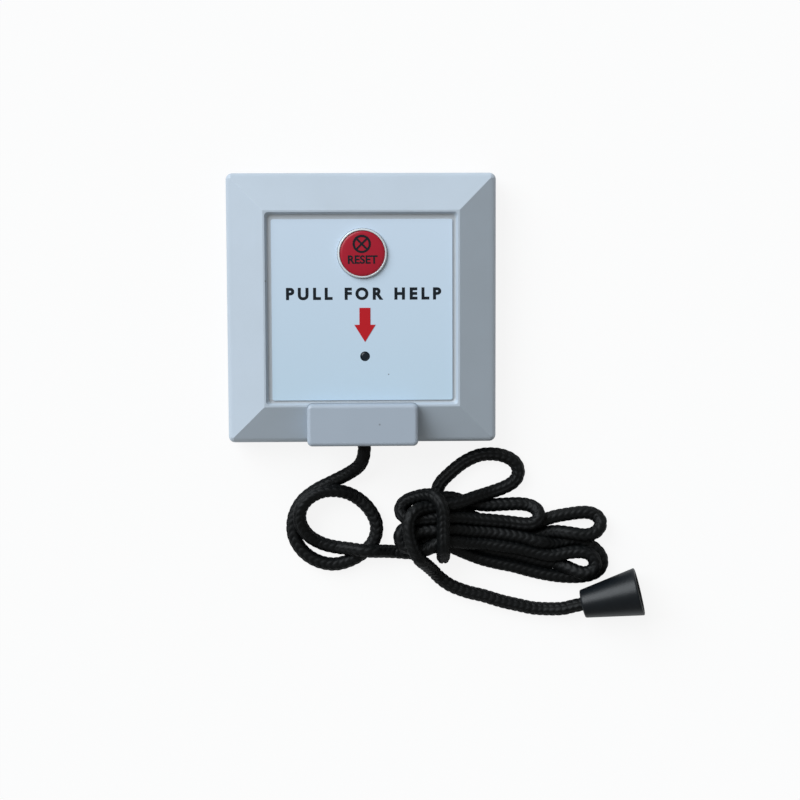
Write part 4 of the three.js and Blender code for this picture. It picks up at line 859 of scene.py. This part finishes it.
def make_stage():
    """A white floor that keeps the object's shadow, and soft light from the upper left, as by a window."""
    clear_selection()
    bpy.ops.mesh.primitive_plane_add(size=12, location=(0, 0, -0.0001))
    floor = bpy.context.object
    floor.name = "floor"
    paper = new_material("white_paper")
    path = add_node(paper, "ShaderNodeLightPath")
    matt = add_node(paper, "ShaderNodeBsdfDiffuse", {"Color": (0.86, 0.86, 0.86, 1)})
    glow = add_node(paper, "ShaderNodeEmission", {"Strength": 1.0})
    seen = add_node(paper, "ShaderNodeMath",
                    links={0: path.outputs["Is Camera Ray"], 1: path.outputs["Is Transmission Ray"]},
                    operation="MAXIMUM")
    share = add_node(paper, "ShaderNodeMath", {1: 0.88}, {0: seen.outputs[0]}, operation="MULTIPLY")
    mixed = add_node(paper, "ShaderNodeMixShader", links={
        0: share.outputs[0], 1: matt.outputs[0], 2: glow.outputs[0],
    })
    finish_material(paper, mixed)
    floor.data.materials.append(paper)

    world = bpy.data.worlds.new("studio")
    bpy.context.scene.world = world
    world.use_nodes = True
    world.node_tree.nodes["Background"].inputs["Color"].default_value = (1.0, 0.985, 0.93, 1)
    world.node_tree.nodes["Background"].inputs["Strength"].default_value = 0.27
    data = bpy.data.lights.new("window", "SUN")
    data.energy = 3.4
    data.angle = math.radians(50)
    data.color = (0.93, 0.985, 1.03)
    window = bpy.data.objects.new("window", data)
    window.rotation_euler = Vector((-0.55, 0.55, 0.58)).to_track_quat("Z", "Y").to_euler()
    bpy.context.scene.collection.objects.link(window)


def main():
    """Camera and cord first, then the unit from the outside in, and the light."""
    make_camera()
    braid = braided_polyester()
    cord, route, length = make_cord(braid)
    knot_in_slider = make_knot("slider_knot_tied", (CORD_X, -28.4, CORD_Z), (0, 1, 0), 1.75, braid)
    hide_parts("slider_knot")

    # the shell carries painted shade in the groove round the label
    satin = moulded_plastic("satin_abs", "#B8C4D1", "#B0BBC6", 0.4, groove=True,
                            specks=[(-30.7, 8.9, 16.6, 0.5, 0.7)])
    make_cover(satin)
    # painted shade: the hood's plastic is a darker copy of the shell's, standing in for the shade on the
    # hood's face
    make_hood(moulded_plastic("satin_abs_hood_painted_shade", "#A8B3C0", "#A1ACB9", 0.4,
                              specks=[(5.5, -36.7, HOOD_HEIGHT, 0.4, 0.5)]))
    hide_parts("cord_hood")
    make_label(label_film())
    red_ink = screen_ink("red_screen_ink", "#C01622", "#B2121E")
    dark_ink = screen_ink("black_screen_ink", "#08141E", "#0C161E")
    dress(red_ink, "arrow_mark")
    make_button(clear_acrylic(), moulded_plastic("red_acrylic", "#AC1A30", "#A0172B", 0.3, 1.2, 0.01, 6.0,
                                                  {"Specular IOR Level": 0.35}))
    make_ring_cross(dark_ink)
    make_words("reset_word", "RESET", 3.6, (BUTTON_X, BUTTON_Y - 2.1), 16.93, dark_ink,
               "cancel_button", "lens", 1.0, 0.1)
    make_words("face_words", "PULL FOR HELP", 5.0, (0.5, 4.6), LABEL_TOP + 0.01, dark_ink, "housing", "lens",
               1.5, 0.24)
    make_lamp(moulded_plastic("smoked_epoxy", "#0B1720", "#0F1E2A", 0.2))

    soft_black = moulded_plastic("black_polypropylene", "#0B0F13", "#10151A", 0.36, 0.5, 0.03, 4.0,
                                 {"Specular IOR Level": 0.3})
    knob, along = make_knob(soft_black)
    knot = make_knot("knob_knot_tied", knob_axis_point(KNOB_FLOOR + 2.6), along, 1.8, braid)
    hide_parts("knob_knot")
    make_grommet(soft_black)

    black_case = moulded_plastic("black_epoxy", "#17191C", "#202327", 0.5)
    white_acetal = moulded_plastic("white_acetal", "#E4E4DF", "#D8D8D2", 0.42)
    plated = metal("plated_steel", "#C3C6CA", "#A9ADB2", 0.3)
    dress(satin, "rear_base")
    dress(moulded_plastic("green_solder_mask", "#1E5C36", "#184B2C", 0.35, 0.8, 0.02), "circuit_board")
    dress(black_case, "controller_chip", "battery_holder", "button_switch_body", "pull_switch_body")
    dress(white_acetal, "button_switch_plunger", "pull_slider")
    dress(moulded_plastic("red_acetal", "#B81E2C", "#A21A26", 0.4), "pull_switch_plunger")
    dress(moulded_plastic("red_pvc", "#A81C24", "#96161E", 0.5), "switch_wire_red")
    dress(moulded_plastic("black_pvc", "#1A1B1D", "#242527", 0.5), "switch_wire_black")
    dress(metal("printed_foil", "#8E959C", "#7C838B", 0.38), "battery")
    dress(metal("enamelled_copper", "#B87A4C", "#A0663C", 0.32), "antenna_coil")
    make_spring(plated)
    dress(plated, "radio_crystal", "battery_contact_plate", "battery_contact_spring",
          "hood_screw_1", "hood_screw_2", "board_screw_1", "board_screw_2")

    make_stage()
    bpy.context.scene.view_settings.view_transform = "Standard"


main()
